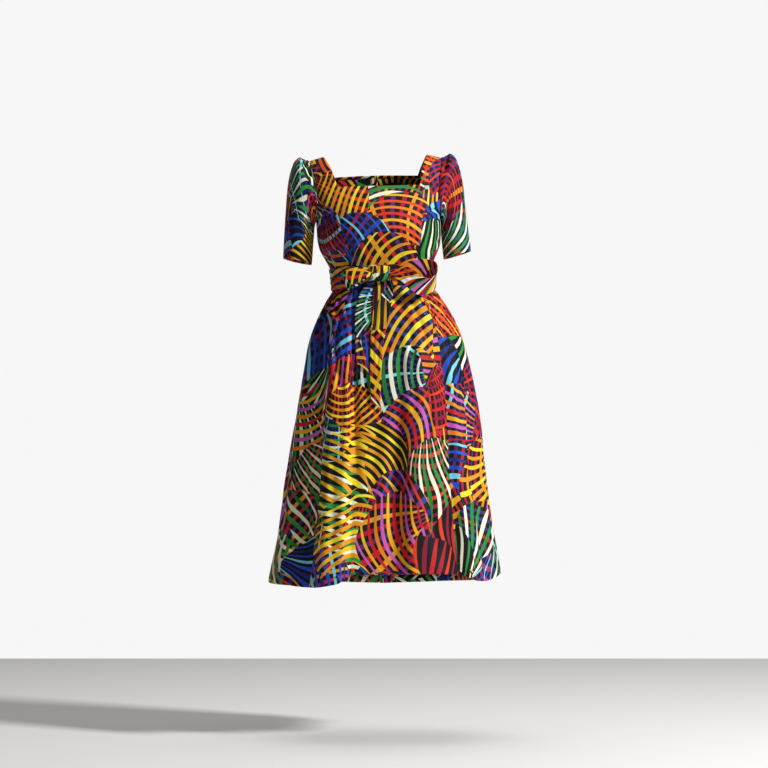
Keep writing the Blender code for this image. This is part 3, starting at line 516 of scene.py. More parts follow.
# The loops' grid; how far along them their folds die away and come back, and how the folds' depth goes with
# the ribbon's half width; the slump of the ribbon between, and how its two edges round off
LOOP_STATIONS = 110
RIBBON_COLUMNS = 25
LOOP_FOLDS_OUT = (0.04, 0.40)
LOOP_FOLDS_BACK = (0.60, 0.96)
LOOP_FOLD_LEAST = 0.25
LOOP_WIDTH_SCALE = 0.03
SLUMP = 0.0012
SLUMP_COMES = (0.2, 0.5)
RIBBON_EDGE = 0.86
RIBBON_EDGE_ROLL = 0.0004

# Folds of the bow's tails, by their place across from 0 to 1, how they drift on the way down and how far
# down they reach; then a tail's rows, how its two edges round off, and where its folds start to die away
TailFold = namedtuple("TailFold", "place drift depth width reach")
FRONT_TAIL_FOLDS = [
    TailFold(0.30, -0.05, 0.0020, 0.07, 0.75),
    TailFold(0.62, 0.06, 0.0016, 0.09, 0.95),
    TailFold(0.85, -0.08, 0.0010, 0.06, 0.5),
]
SIDE_TAIL_FOLDS = [
    TailFold(0.35, 0.05, 0.0010, 0.08, 0.8),
    TailFold(0.70, -0.06, 0.0010, 0.08, 0.9),
]
TAIL_ROWS = 91
TAIL_EDGE = 0.44
TAIL_EDGE_ROLL = 0.0005
TAIL_FOLD_FADES = 0.6

# Folds of the knot, by their place across it from -1 to 1 and how they lean round it; how squarely it is
# wrapped, how much shallower its folds are in front, and how its two edges round off
KnotFold = namedtuple("KnotFold", "place lean depth width")
KNOT_FOLDS = [
    KnotFold(-0.62, 0.30, 0.0018, 0.13),
    KnotFold(-0.16, 0.34, 0.0022, 0.12),
    KnotFold(0.26, 0.26, 0.0019, 0.14),
    KnotFold(0.66, 0.20, 0.0014, 0.10),
]
KNOT_SQUARE = 2.4
KNOT_FRONT_SHARE = 0.7
KNOT_EDGE = 0.84
KNOT_EDGE_ROLL = 0.0012

# The print's colours, in families of four: those of the broad stripes and those of the short bars between
# them
GROUND = "0D0B0D"
STRIPES = [
    ("E39A1B", "F2C21E", "E39A1B", "F5DE2C"),
    ("B01431", "C81C28", "8E1233", "E23A1B"),
    ("E8871A", "C81C28", "F2B21C", "CC5DB6"),
    ("2B8A37", "EEF4D2", "2F9440", "EEF4D2"),
    ("F0861A", "E8501C", "F2B21C", "D8321E"),
    ("2F9440", "EEF4D2", "1F7A35", "EEF4D2"),
    ("1F49BE", "1C2C86", "2456D0", "7DD7EE"),
    ("D8321E", "F2B21C", "B01431", "CC5DB6"),
]
BARS = [
    ("3A2A6E", "1C2C86", "3A2A6E", "7DD7EE"),
    ("B01431", "7A1030", "C81C28", "E23A1B"),
    ("1C2C86", "2B3E9E", "5A2A6E", "B01431"),
    ("E39A1B", "B01431", "5A2A6E", "C81C28"),
]
CRESCENT = "F5F4EE"
CRACKLE = "2A2440"
THREAD = "1B1719"
THREAD_LIGHT = "2E282B"

# Where each piece is cut from the printed cloth: the turn of the cut in degrees, and its place there, so
# that the print breaks at the seams
Cut = namedtuple("Cut", "grain across up")
CUTS = {
    "bodice_front_centre": Cut(8, 12.13, 0.16),
    "bodice_front_side_left": Cut(-24, 2.77, 0.26),
    "bodice_front_side_right": Cut(31, 5.85, 1.17),
    "bodice_back_left": Cut(-6, 1.56, 0.78),
    "bodice_back_right": Cut(5, 12.49, 0.67),
    "sleeve_left": Cut(12, 11.30, 0.46),
    "sleeve_right": Cut(-15, 6.65, 1.83),
    "skirt_front_centre": Cut(-4, 8.28, 0.43),
    "skirt_front_side_left": Cut(-16, 1.96, 1.23),
    "skirt_front_side_right": Cut(15, 4.75, -0.33),
    "skirt_back_left": Cut(-9, 11.11, -0.07),
    "skirt_back_right": Cut(8, 12.45, 0.31),
    "sash_band": Cut(90, 5.68, 0.74),
    "bow_knot": Cut(90, 12.19, 1.79),
    "bow_loop_left": Cut(90, 2.46, 0.68),
    "bow_loop_right": Cut(90, 6.85, 1.20),
    "bow_tail_front": Cut(0, 10.28, 0.07),
    "bow_tail_side": Cut(0, 2.48, 0.57),
}

# Each layer of the print: the radius of its fans and the pitch of their stripes in metres, the turn of its
# rows in degrees, where it starts, the seed of its chances, how far off the point lies that a fan's arcs
# run round, in radii, and the share of fans with arcs, of fans that are there, on plain ground and barred
Layer = namedtuple("Layer", "radius stripe turn start seed point_far arcs there solid barred")
UNDER_FANS = Layer(0.092, 0.0168, 16, (0.37, 0.11), 3.0, 1.7, 0.66, 1.0, 0.0, 0.62)
OVER_FANS = Layer(0.108, 0.0176, -38, (0.83, 0.46), 11.0, 1.6, 0.74, 0.62, 0.72, 0.5)
FAN_TALL = 1.2
SECOND_SEED = 31.0
SASH_PRINT_TURN = 25.0

# The hand in the print: how often the stripes sway in a metre and how wide, and how often a stripe's
# width wavers, by how much and its least, in shares of its pitch
SWAY_OFTEN = 4.5
SWAY_WIDE = 0.075
BRUSH_OFTEN = 9.0
BRUSH_VARIES = 0.40
BRUSH_LEAST = 0.245

# The crackle: how far apart its lines are in metres, half their width in shares of that, how often its
# patches change in a metre, the tone above which it shows and its strength
CRACKLE_APART = 0.025
CRACKLE_HALF = 0.010
PATCH_OFTEN = 14.0
CRACKLE_ABOVE = 0.62
CRACKLE_STRENGTH = 0.45

# The weave: the length of one radian of its waves in millimetres, so that a thread is 5.7 mm wide as drawn,
# and how many radians a wave texture turns in a unit
WEAVE_RADIAN_MM = 0.9
RADIANS_IN_UNIT = 20

# How full a stripe is drawn in the middle of its fan and how it narrows outwards, half a bar's width in
# shares of the pitch, the crescent's outer edge in shares of the fan's radius, how wide it grows towards
# the top, and the chance above which a fan has one
STRIPE_FULLEST = 1.26
STRIPE_NARROWS = -0.70
BAR_HALF = 0.21
CRESCENT_EDGE = 0.99
CRESCENT_WIDENS = -0.085
CRESCENT_CHANCE = 0.62


def curve(rows, key, column, at):
    """A smooth curve through one column of a table, with no overshoot between its rows."""
    xs = np.array([getattr(row, key) for row in rows], float)
    ys = np.array([getattr(row, column) for row in rows], float)
    at = np.clip(np.asarray(at, float), xs[0], xs[-1])
    steps = np.diff(xs)
    slopes = np.diff(ys) / steps
    same_way = slopes[:-1] * slopes[1:] > 0
    mean = np.where(same_way, 2 * slopes[:-1] * slopes[1:] / (slopes[:-1] + slopes[1:] + 1e-30), 0.0)
    tangents = np.concatenate([slopes[:1], mean, slopes[-1:]])
    i = np.clip(np.searchsorted(xs, at, side="right") - 1, 0, len(xs) - 2)
    t = (at - xs[i]) / steps[i]
    rise = ys[i + 1] - ys[i]
    return (
        ys[i]
        + rise * t * t * (3 - 2 * t)
        + steps[i] * (tangents[i] * t * (1 - t) ** 2 - tangents[i + 1] * t * t * (1 - t))
    )


def ramp(value, start, end):
    """0 before start, 1 after end, and smooth between them."""
    t = np.clip((value - start) / (end - start), 0, 1)
    return t * t * (3 - 2 * t)


def stand(points):
    """The wearer's stance: the dress leans, rises on its right and turns a little."""
    x, y, z = np.moveaxis(np.asarray(points, float), -1, 0)
    turn = np.radians(curve(STANCE, "height", "turn", z))
    turned_x = x * np.cos(turn) - y * np.sin(turn)
    turned_y = x * np.sin(turn) + y * np.cos(turn)
    sway = curve(STANCE, "height", "sway", z)
    rise = curve(STANCE, "height", "rise", z)
    return np.stack([turned_x + sway, turned_y, z + rise * turned_x], -1)


def fall_share(level):
    """How far a fold has moved from its place at the hip, 0, to its place at the hem, 1."""
    hip, hem, here = (1 / curve(BODY, "level", "half_width", z) for z in (HIP, HEM, level))
    return np.clip((here - hip) / (hem - hip), FOLD_ABOVE_HIP, 1)


def skirt_folds(angle, level):
    """How far the skirt's folds stand out from its plain oval."""
    down = fall_share(level)
    turn = (angle + 180) % 360 - 180
    out = 0.0
    for fold in FOLDS:
        left = fold.left_hip + (fold.left_hem - fold.left_hip) * down
        right = fold.right_hip + (fold.right_hem - fold.right_hip) * down
        body = ramp(turn, left - fold.rise / 2, left + fold.rise / 2)
        body = body * (1 - ramp(turn, right - fold.fall / 2, right + fold.fall / 2))
        early = ramp(-level, -fold.start, FOLD_LENGTH - fold.start)
        late = ramp(-level, -fold.start, -HEM)
        out = out + fold.height * body * (FOLD_AT_LENGTH * early + (1 - FOLD_AT_LENGTH) * late)
    return out


def oval(angle, level):
    """The plain oval of the dress at a level, before folds, bust and shoulder slope."""
    a = np.radians(angle)
    width = curve(BODY, "level", "half_width", level)
    front = curve(BODY, "level", "front", level)
    back = curve(BODY, "level", "back", level)
    across = (np.sin(a) + OVAL * np.sin(3 * a)) / (1 - OVAL)
    ahead = (np.cos(a) - OVAL * np.cos(3 * a)) / (1 - OVAL)
    depth = np.where(ahead > 0, front, back)
    return width * across, -depth * ahead


def body_base(angle, level):
    """A point of the dress's outer face, from the degrees round from the centre front and the level. Past
    the shoulder line the surface runs on down the other side, so that both sides agree there."""
    angle, level = np.broadcast_arrays(np.asarray(angle, float), np.asarray(level, float))
    over = level > SHOULDER
    inside = np.where(over, 2 * SHOULDER - level, level)
    x, y = oval(angle, inside)
    aside = (np.hypot(x, CENTRE_SOFT) - FULLNESS_PLACE[0]) / FULLNESS_REACH[0]
    above = (inside - FULLNESS_PLACE[1]) / FULLNESS_REACH[1]
    y = y - FULLNESS * np.exp(-(aside**2) - above**2) * np.clip(2 * np.cos(np.radians(angle)), 0, 1)
    next_x, next_y = oval(angle + OVAL_STEP, inside)
    last_x, last_y = oval(angle - OVAL_STEP, inside)
    normal = np.stack([next_y - last_y, last_x - next_x], -1)
    normal /= np.linalg.norm(normal, axis=-1, keepdims=True) + 1e-12
    out = skirt_folds(angle, inside)
    x = x + normal[..., 0] * out
    y = y + normal[..., 1] * out
    height = curve(BODY, "level", "height", inside)
    turn = (angle + 180) % 360 - 180
    skirt = np.clip((WAIST - inside) / (WAIST - HEM), 0, 1)
    height = height - skirt * curve(HEM_LINE, "angle", "drop", turn)
    strap_turn = curve(EDGES, "level", "strap", SHOULDER)
    inner = curve(BODY, "level", "half_width", SHOULDER) * math.sin(math.radians(strap_turn))
    height = height - SHOULDER_DROP * (x * x - inner * inner) * ramp(inside, FRONT_NECK, SLOPE_LEVEL)
    return np.stack([x, np.where(over, -y, y), height], -1)


def body_normal(angle, level):
    """The outward normal of the dress."""
    across = body_base(angle + TURN_STEP, level) - body_base(angle - TURN_STEP, level)
    up = body_base(angle, level + STEP) - body_base(angle, level - STEP)
    normal = np.cross(across, up)
    return normal / np.linalg.norm(normal, axis=-1, keepdims=True)


def degrees_for(distance, angle, level):
    """The turn, in degrees, that moves a point this far round the dress."""
    across = body_base(angle + TURN_STEP, level) - body_base(angle - TURN_STEP, level)
    return distance / (np.linalg.norm(across, axis=-1) / (2 * TURN_STEP))


def edge_at(column, levels):
    """Where a cut edge of the bodice runs at each level, in degrees."""
    return curve(EDGES, "level", column, levels)


def crease_depth(across, up, lines):
    """The depth that soft creases press into the cloth at each place. across and up give the place in
    metres on the cloth; each line is its two ends, half width, depth and bow in the same metres."""
    depth = np.zeros(np.broadcast(across, up).shape)
    for (x1, y1), (x2, y2), width, deep, bow in lines:
        x1, x2 = np.asarray(x1), np.asarray(x2)
        run_x, run_y = x2 - x1, y2 - y1
        length = np.hypot(run_x, run_y)
        share = ((across - x1) * run_x + (up - y1) * run_y) / length**2
        off = ((across - x1) * run_y - (up - y1) * run_x) / length
        off = off - bow * (1 - (2 * np.clip(share, 0, 1) - 1) ** 2)
        wide = width * (CREASE_START_WIDTH + CREASE_WIDENS * np.clip(share, 0, 1))
        steep = np.where(off > 0, CREASE_STEEP_SIDE, CREASE_SOFT_SIDE)
        dip = np.exp(-((off / (wide * steep)) ** 2))
        rise = np.exp(-(((off - CREASE_RISE_AWAY * wide) / wide) ** 2))
        fade = ramp(share, *CREASE_COMES) * (1 - ramp(share, *CREASE_DIES))
        depth = depth + deep * (dip - CREASE_RISE * rise) * fade
    return depth


def body_relief(angle, level):
    """How far creases and small unevenness move the cloth of the body out or in, less under the sash."""
    angle, level = np.broadcast_arrays(np.asarray(angle, float), np.asarray(level, float))
    girth = curve(BODY, "level", "half_width", level) * GIRTH_SHARE
    total = np.zeros(angle.shape)
    for crease in CREASES:
        middle = (crease.angle_1 + crease.angle_2) / 2
        turn = (angle - middle + 180) % 360 - 180
        half = math.radians(crease.angle_2 - crease.angle_1) / 2
        ends = (-half * girth, crease.level_1), (half * girth, crease.level_2)
        line = (*ends, crease.width, crease.depth, crease.bow)
        near = np.abs(level - (crease.level_1 + crease.level_2) / 2)
        if near.min() < abs(crease.level_2 - crease.level_1) / 2 + CREASE_MARGIN:
            total = total + crease_depth(np.radians(turn) * girth, level, [line])
    uneven = np.empty(angle.shape)
    for place in np.ndindex(angle.shape):
        turn, here = math.radians(angle[place]), level[place]
        spot = Vector((math.sin(turn) * UNEVEN_ROUND, -math.cos(turn) * UNEVEN_ROUND, here * UNEVEN_DOWN))
        uneven[place] = noise.noise(spot) * COARSE_HEIGHT + noise.noise(spot * FINER) * FINE_HEIGHT
    skirt = 1 + SKIRT_MORE * ramp(-level, *SKIRT_MORE_LEVELS)
    clear = ramp(np.abs(level - SASH_MIDDLE), *SASH_STILL)
    shoulder = 1 - ramp(level, *SHOULDER_STILL)
    return (uneven * skirt - total) * clear * shoulder


def between(start, end, count):
    """Evenly spaced columns between two edges, each given for every row."""
    share = np.linspace(0, 1, count + 1)[:, None]
    return np.asarray(start)[None, :] * (1 - share) + np.asarray(end)[None, :] * share


def edge_columns(angles, levels):
    """Adds two columns close inside each seam, for its rolled edge, and gives how far each column rolls."""
    added = []
    for seam, beside in ((angles[0], angles[1]), (angles[-1], angles[-2])):
        near = degrees_for(1.0, seam, levels)
        gap = np.abs(beside - seam)
        into = [np.minimum(near * at, share * gap) for at, share in zip(ROLL_AT[1:], NEAR_EDGE_SHARES)]
        added.append([seam + np.sign(beside - seam) * distance for distance in into])
    first, last = added
    columns = np.concatenate([angles[:1], first, angles[1:-1], last[::-1], angles[-1:]])
    rolls = np.concatenate([ROLL, np.zeros(len(angles) - 2), ROLL[::-1]])
    return columns, rolls


def flat_cut(points):
    """Each place's position in metres on the flat cloth, measured along the worn cloth from its middle."""
    middle = points.shape[0] // 2
    across = np.linalg.norm(np.diff(points, axis=0), axis=-1)
    across = np.concatenate([np.zeros((1, points.shape[1])), np.cumsum(across, axis=0)])
    across -= across[middle]
    up = np.linalg.norm(np.diff(points[middle], axis=0), axis=-1)
    up = np.concatenate([[0], np.cumsum(up)])
    return np.stack([across, np.broadcast_to(up, across.shape)], -1)


def turn_under(bm, edges, width, uv, plain, facing, flat_uv):
    """Folds raw edges to the inside: a small roll, then a flat turning of the given width. plain, facing
    and flat_uv give each vertex's place before the roll, its outward direction and its place on the cut."""
    origin = bm.verts.layers.int["origin"]
    into, outward = {}, {}
    for edge in edges:
        ends = [vert[origin] for vert in edge.verts]
        corners = [vert[origin] for vert in edge.link_faces[0].verts]
        for places, kept, sign in ((plain, into, 1), (flat_uv, outward, -1)):
            along = (places[ends[1]] - places[ends[0]]).normalized()
            centre = sum((places[k] for k in corners), places[ends[0]] * 0) / len(corners)
            inner = centre - (places[ends[0]] + places[ends[1]]) / 2
            inner -= along * inner.dot(along)
            for end in ends:
                kept[end] = kept.get(end, inner * 0) + inner.normalized() * sign
    run = 0.0
    for reach, deep, length in FOLD_UNDER + [(width, FOLD_UNDER[-1][1] + TURNING_DEEPER, width)]:
        made = bmesh.ops.extrude_edge_only(bm, edges=edges)["geom"]
        fresh = {item for item in made if isinstance(item, bmesh.types.BMVert)}
        for vert in fresh:
            k = vert[origin]
            vert.co = plain[k] + into[k].normalized() * reach - facing[k] * deep
        for face in (item for item in made if isinstance(item, bmesh.types.BMFace)):
            for loop in face.loops:
                k = loop.vert[origin]
                loop[uv].uv = flat_uv[k] + outward[k].normalized() * (run + length * (loop.vert in fresh))
        run += length
        lines = [item for item in made if isinstance(item, bmesh.types.BMEdge)]
        edges = [line for line in lines if fresh.issuperset(line.verts)]


def cut_from_print(flat, cut):
    """Each place's position on the printed cloth, turned and moved to where the piece is cut."""
    turn = math.radians(cut.grain)
    return np.stack([
        flat[..., 0] * math.cos(turn) - flat[..., 1] * math.sin(turn) + cut.across,
        flat[..., 0] * math.sin(turn) + flat[..., 1] * math.cos(turn) + cut.up,
    ], -1)


def raw_edges(bm, spot, columns, rows, turned, closed):
    """The cloth's raw edges, as pairs of the width of their turning and the edges."""
    sides = (("first_column", 0, 0), ("last_column", 0, columns), ("first_row", 1, 0), ("last_row", 1, rows))
    kinds = {}
    for edge in (edge for edge in bm.edges if edge.is_boundary):
        places = [divmod(vert[spot], rows + 1) for vert in edge.verts]
        kind = "cut"
        for side, axis, value in sides:
            if all(place[axis] == value for place in places) and not (closed and axis == 0):
                kind = side
        kinds.setdefault(turned.get(kind, SEAM_ALLOWANCE), []).append(edge)
    return sorted(kinds.items())


def placed(name, bm):
    """An object of the scene made from a finished mesh."""
    mesh = bpy.data.meshes.new(name)
    bm.to_mesh(mesh)
    bm.free()
    made = bpy.data.objects.new(name, mesh)
    bpy.context.scene.collection.objects.link(made)
    return made


def cloth(node, points, material, smooth=None, roll=0.0, thick=COTTON_THICK, offset=-1.0, turned=None,
          cut_away=None, closed=False):
    """The cloth of one solid, from a grid of points on its outer face. smooth gives the same points before
    the small creases or gathers, where the printed cut is measured. roll gives how far each point is drawn
    in at the edges, and turned the width of the turning at each edge: first and last column, first and
    last row, and at the cut. cut_away marks the cells that are cut out, and closed joins the last column
    to the first. An offset of -1 lays the cloth inside its points, and 0 has them in its middle."""
    columns, rows = points.shape[0] - 1, points.shape[1] - 1
    bm = bmesh.new()
    spot = bm.verts.layers.int.new("spot")
    bm.verts.layers.int.new("origin")
    uv = bm.loops.layers.uv.new("flat_cut")
    bmesh.ops.create_grid(bm, x_segments=columns, y_segments=rows, size=0.5)
    for vert in bm.verts:
        column, row = round((vert.co.x + 0.5) * columns), round((vert.co.y + 0.5) * rows)
        vert[spot] = column * (rows + 1) + row
    if cut_away is not None:
        corners = {face: min(vert[spot] for vert in face.verts) for face in bm.faces}
        cut = [face for face, corner in corners.items() if cut_away[divmod(corner, rows + 1)]]
        bmesh.ops.delete(bm, geom=cut, context="FACES")
    printed = cut_from_print(flat_cut(points if smooth is None else smooth), CUTS[node])
    for face in bm.faces:
        for loop in face.loops:
            loop[uv].uv = printed[divmod(loop.vert[spot], rows + 1)]
    for vert in bm.verts:
        vert.co = points[divmod(vert[spot], rows + 1)]
    if closed:
        bmesh.ops.remove_doubles(bm, verts=bm.verts[:], dist=SAME_PLACE)
    bm.normal_update()
    area = sum(face.calc_area() for face in bm.faces)
    origin = bm.verts.layers.int["origin"]
    plain, facing, flat_uv = {}, {}, {}
    rolls = np.broadcast_to(roll, points.shape[:2])
    for k, vert in enumerate(bm.verts):
        place = divmod(vert[spot], rows + 1)
        vert[origin] = k
        plain[k], facing[k], flat_uv[k] = vert.co.copy(), vert.normal.copy(), Vector(printed[place])
        vert.co -= facing[k] * rolls[place]
    if turned is not None:
        for width, edges in raw_edges(bm, spot, columns, rows, turned, closed):
            if width > 0:
                turn_under(bm, edges, width, uv, plain, facing, flat_uv)
    piece = placed(node + "_cloth", bm)
    piece.data.shade_smooth()
    solid = piece.modifiers.new("cloth", "SOLIDIFY")
    solid.thickness = thick
    solid.offset = offset
    piece.data.materials.append(material)
    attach(piece, "root")
    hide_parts(node)
    worn = flat_cut(points)
    width = float((worn[-1, :, 0] - worn[0, :, 0]).max())


def body_points(angles, levels):
    """The outer face of the worn cloth at each place, with its creases."""
    levels = np.broadcast_to(levels, angles.shape)
    out = body_relief(angles, levels)[..., None]
    return stand(body_base(angles, levels) + body_normal(angles, levels) * out)


def spaced(stops, step, extra=()):
    """Levels from the first stop to the last, about a step apart, through every stop, and the extra ones."""
    levels = set(extra)
    for start, end in zip(stops[:-1], stops[1:]):
        count = max(1, round(abs(end - start) / step))
        levels.update(start + (end - start) * k / count for k in range(count + 1))
    kept = []
    for level in sorted(round(level, 6) for level in levels):
        if not kept or level - kept[-1] > CLOSEST_ROWS:
            kept.append(level)
    return np.array(kept)


# The levels of the cloth's rows, closer together at a neck, a hem and a seam, where the cloth rolls in
NECK_ROWS = [neck - at for neck in (FRONT_NECK, BACK_NECK) for at in ROLL_AT]
ROW_STOPS = [WAIST, UNDERARM, SEAM_TIP, FRONT_NECK, BACK_NECK, SHOULDER]
UNDERARM_ROWS = [UNDERARM + UNDERARM_ROW * k for k in range(1, 18)]
BODICE_ENDS = [WAIST + at for at in ROLL_AT[1:]] + [SHOULDER - at for at in ROLL_AT[1:]]
BODICE_LEVELS = spaced(ROW_STOPS, BODICE_ROW, NECK_ROWS + UNDERARM_ROWS + BODICE_ENDS)
SKIRT_ENDS = [HEM + at for at in ROLL_AT] + [WAIST - at for at in ROLL_AT[1:]]
SKIRT_LEVELS = spaced([HEM, HIP, WAIST], SKIRT_ROW, SKIRT_ENDS)


def row_rolls(levels, top=True):
    """How far the cloth rolls in at its first rows, and at its last ones unless it has no top edge."""
    rolls = np.zeros(len(levels))
    rolls[: len(ROLL)] = ROLL
    if top:
        rolls[-len(ROLL) :] = ROLL[::-1]
    return rolls


def row_of(levels, level):
    """The number of the row nearest a level."""
    return int(np.argmin(np.abs(levels - level)))


def neck_roll(angles, levels, neck, centre):
    """How far the cloth rolls in round a square neck opening, whose middle is at the centre angle."""
    levels = np.broadcast_to(levels, angles.shape)
    strap = edge_at("strap", levels)
    across = (np.abs(angles - centre) - strap) / degrees_for(1.0, angles, levels)
    below = neck - levels
    gap = np.where(levels > neck, across, np.where(across < 0, below, np.hypot(across, below)))
    return ROLL[0] * (1 - np.clip(gap / ROLL_AT[2], 0, 1)) ** 2


def strap_columns(outer_edge, strap, levels, count):
    """Columns from the armhole side of a strap to its neck side, with two more close to the neck edge."""
    plain = between(outer_edge, strap, count)
    near = degrees_for(1.0, strap, levels) * np.sign(strap - outer_edge)
    return np.concatenate([plain[:-1], [strap - near * at for at in ROLL_AT[:0:-1]], plain[-1:]])


def bodice_front_centre(material):
    """The middle of the bodice front, up to the square neck, with the front of both straps."""
    levels = BODICE_LEVELS
    strap = edge_at("strap", levels)
    seam = np.where(levels <= SEAM_TIP, edge_at("princess", levels), edge_at("armhole", levels))
    left = strap_columns(-seam, -strap, levels, FRONT_STRAP_COLUMNS)
    right = -left[::-1]
    middle = between(-strap, strap, FRONT_NECK_COLUMNS)
    angles, rolls = edge_columns(np.concatenate([left, middle[1:-1], right]), levels)
    first = len(left) + 1
    neck_row = row_of(levels, FRONT_NECK)
    away = np.zeros((angles.shape[0] - 1, len(levels) - 1), bool)
    away[first : first + FRONT_NECK_COLUMNS, neck_row:] = True
    roll = rolls[:, None] + row_rolls(levels)[None, :] + neck_roll(angles, levels, FRONT_NECK, 0.0)
    cloth("bodice_front_centre", body_points(angles, levels), material,
          body_base(angles, levels), roll, cut_away=away, turned={"cut": NECK_TURN})


def bodice_front_side(name, side, material):
    """The side front, from the princess seam round to the side seam, with its tip at the armhole."""
    levels = BODICE_LEVELS[: row_of(BODICE_LEVELS, SEAM_TIP) + 1]
    angles = side * between(edge_at("princess", levels), edge_at("armhole", levels), FRONT_SIDE_COLUMNS)
    angles, rolls = edge_columns(angles if side > 0 else angles[::-1], levels)
    roll = rolls[:, None] + row_rolls(levels, top=False)[None, :]
    cloth(name, body_points(angles, levels), material, body_base(angles, levels), roll,
          turned={"last_row": 0.0})


def bodice_back(name, side, material):
    """Half of the bodice back, from the side seam to the centre back seam, with the back of one strap."""
    levels = BODICE_LEVELS
    armhole = 180 - edge_at("armhole", levels)
    strap = 180 - edge_at("strap", levels)
    outer_part = strap_columns(armhole, strap, levels, BACK_STRAP_COLUMNS)
    inner_part = between(strap, np.full(len(levels), 180.0), BACK_NECK_COLUMNS)
    angles = np.concatenate([outer_part, inner_part[1:]])
    cells = np.zeros(len(angles) - 1, bool)
    cells[len(outer_part) - 1 :] = True
    angles = side * angles
    if side < 0:
        angles, cells = angles[::-1], cells[::-1]
    angles, rolls = edge_columns(angles, levels)
    cells = np.concatenate([[cells[0]] * 2, cells, [cells[-1]] * 2])
    neck_row = row_of(levels, BACK_NECK)
    away = np.zeros((angles.shape[0] - 1, len(levels) - 1), bool)
    away[cells, neck_row:] = True
    roll = rolls[:, None] + row_rolls(levels)[None, :] + neck_roll(angles, levels, BACK_NECK, side * 180.0)
    cloth(name, body_points(angles, levels), material, body_base(angles, levels), roll,
          cut_away=away, turned={"cut": NECK_TURN})


def fold_lines(start, end, level):
    """The edges of the fold flanks that lie wholly inside a gore, across from one seam to the other."""
    down = fall_share(level)
    lines = []
    for fold in FOLDS:
        left = fold.left_hip + (fold.left_hem - fold.left_hip) * down
        right = fold.right_hip + (fold.right_hem - fold.right_hip) * down
        flanks = [left - fold.rise / 2, left + fold.rise / 2, right - fold.fall / 2, right + fold.fall / 2]
        low, high = start + SEAM_CLEAR_DEGREES, end - SEAM_CLEAR_DEGREES
        lines += [line for line in flanks if line.min() > low and line.max() < high]
    lines.sort(key=lambda line: line.mean())
    return [np.full(len(level), start)] + lines + [np.full(len(level), end)]


def skirt_panel(name, start, end, material):
    """One gore of the skirt from the hem to the waist seam, its columns running along the folds."""
    levels = SKIRT_LEVELS
    lines = fold_lines(start, end, levels)
    strips = []
    for left, right in zip(lines[:-1], lines[1:]):
        count = max(3, math.ceil((right - left).mean() / SKIRT_COLUMN_DEGREES))
        strips.append(between(left, right, count)[:-1])
    angles, rolls = edge_columns(np.concatenate(strips + [lines[-1][None, :]]), levels)
    roll = rolls[:, None] + row_rolls(levels)[None, :]
    cloth(name, body_points(angles, levels), material, body_base(angles, levels), roll,
          turned={"first_row": HEM_TURN})


def armhole_line(side):
    """The armhole's edge from the shoulder down the front to the underarm and up the back, before the
    stance."""
    levels = BODICE_LEVELS[row_of(BODICE_LEVELS, UNDERARM) :][::-1]
    angle = edge_at("armhole", levels)
    front = body_base(side * angle, levels)
    back = body_base(side * (180 - angle), levels)
    return np.concatenate([front, back[-2:0:-1]])


def sleeve_oval(turn, along):
    """A point of the plain sleeve: degrees round from its top line, and how far along to the cuff."""
    outer_x, outer_z = curve(SLEEVE, "along", "outer_x", along), curve(SLEEVE, "along", "outer_z", along)
    inner_x, inner_z = curve(SLEEVE, "along", "inner_x", along), curve(SLEEVE, "along", "inner_z", along)
    a = np.radians(turn)
    x = (outer_x + inner_x) / 2 + (outer_x - inner_x) / 2 * np.cos(a)
    y = -curve(SLEEVE, "along", "depth", along) * np.sin(a)
    z = (outer_z + inner_z) / 2 + (outer_z - inner_z) / 2 * np.cos(a)
    return np.stack([x, y, z], -1)


def sleeve_relief(turn, along):
    """The pleats of the gathered cap and the soft creases of the sleeve."""
    wrapped = (turn + 180) % 360 - 180
    out = np.zeros(np.broadcast(turn, along).shape)
    for pleat in PLEATS:
        lean = wrapped - pleat.turn * (1 + PLEAT_SPREAD * along)
        ridge = np.exp(-((lean / pleat.half) ** 2)) - PLEAT_SUNK
        comes = ramp(along, 0.0, PLEAT_COMES)
        stays = 1 - ramp(along, PLEAT_DIES, pleat.reach)
        out += pleat.height * ridge * comes * stays
    cap = ramp(CAP_DEGREES - np.abs(wrapped), 0, CAP_FADE_DEGREES)
    out = out * cap
    up = along * SLEEVE_LENGTH
    for pull in SLEEVE_PULLS:
        middle = (pull.turn_1 + pull.turn_2) / 2
        across = np.radians((turn - middle + 180) % 360 - 180) * SLEEVE_RADIUS
        half = math.radians(pull.turn_2 - pull.turn_1) / 2 * SLEEVE_RADIUS
        ends = (-half, pull.along_1 * SLEEVE_LENGTH), (half, pull.along_2 * SLEEVE_LENGTH)
        out = out - crease_depth(across, up, [(*ends, pull.width, pull.depth, PULL_BOW)])
    return out


def sleeve_base(turn, along, arm_turn, arm_points, side):
    """A point of the sleeve's outer face, drawn in to the armhole's edge at its start."""
    turn, along = np.broadcast_arrays(np.asarray(turn, float), np.asarray(along, float))
    plain = sleeve_oval(turn, along)
    start = sleeve_oval(turn, np.zeros_like(along))
    wrapped = turn % 360
    arm = np.stack([np.interp(wrapped, arm_turn, arm_points[:, k]) for k in range(3)], -1)
    arm[..., 0] *= side
    fade = (1 - ramp(along, 0.0, CAP_SHARE))[..., None]
    point = plain + fade * (arm - start)
    around = sleeve_oval(turn + 1, along) - sleeve_oval(turn - 1, along)
    ahead = np.minimum(along + ALONG_STEP, 1)
    onward = sleeve_oval(turn, ahead) - sleeve_oval(turn, ahead - 2 * ALONG_STEP)
    normal = np.cross(around, onward)
    normal /= np.linalg.norm(normal, axis=-1, keepdims=True) + 1e-12
    point = point + normal * sleeve_relief(turn, along)[..., None]
    point[..., 0] = point[..., 0] * side + SLEEVE_LEAN * along**1.5
    return point


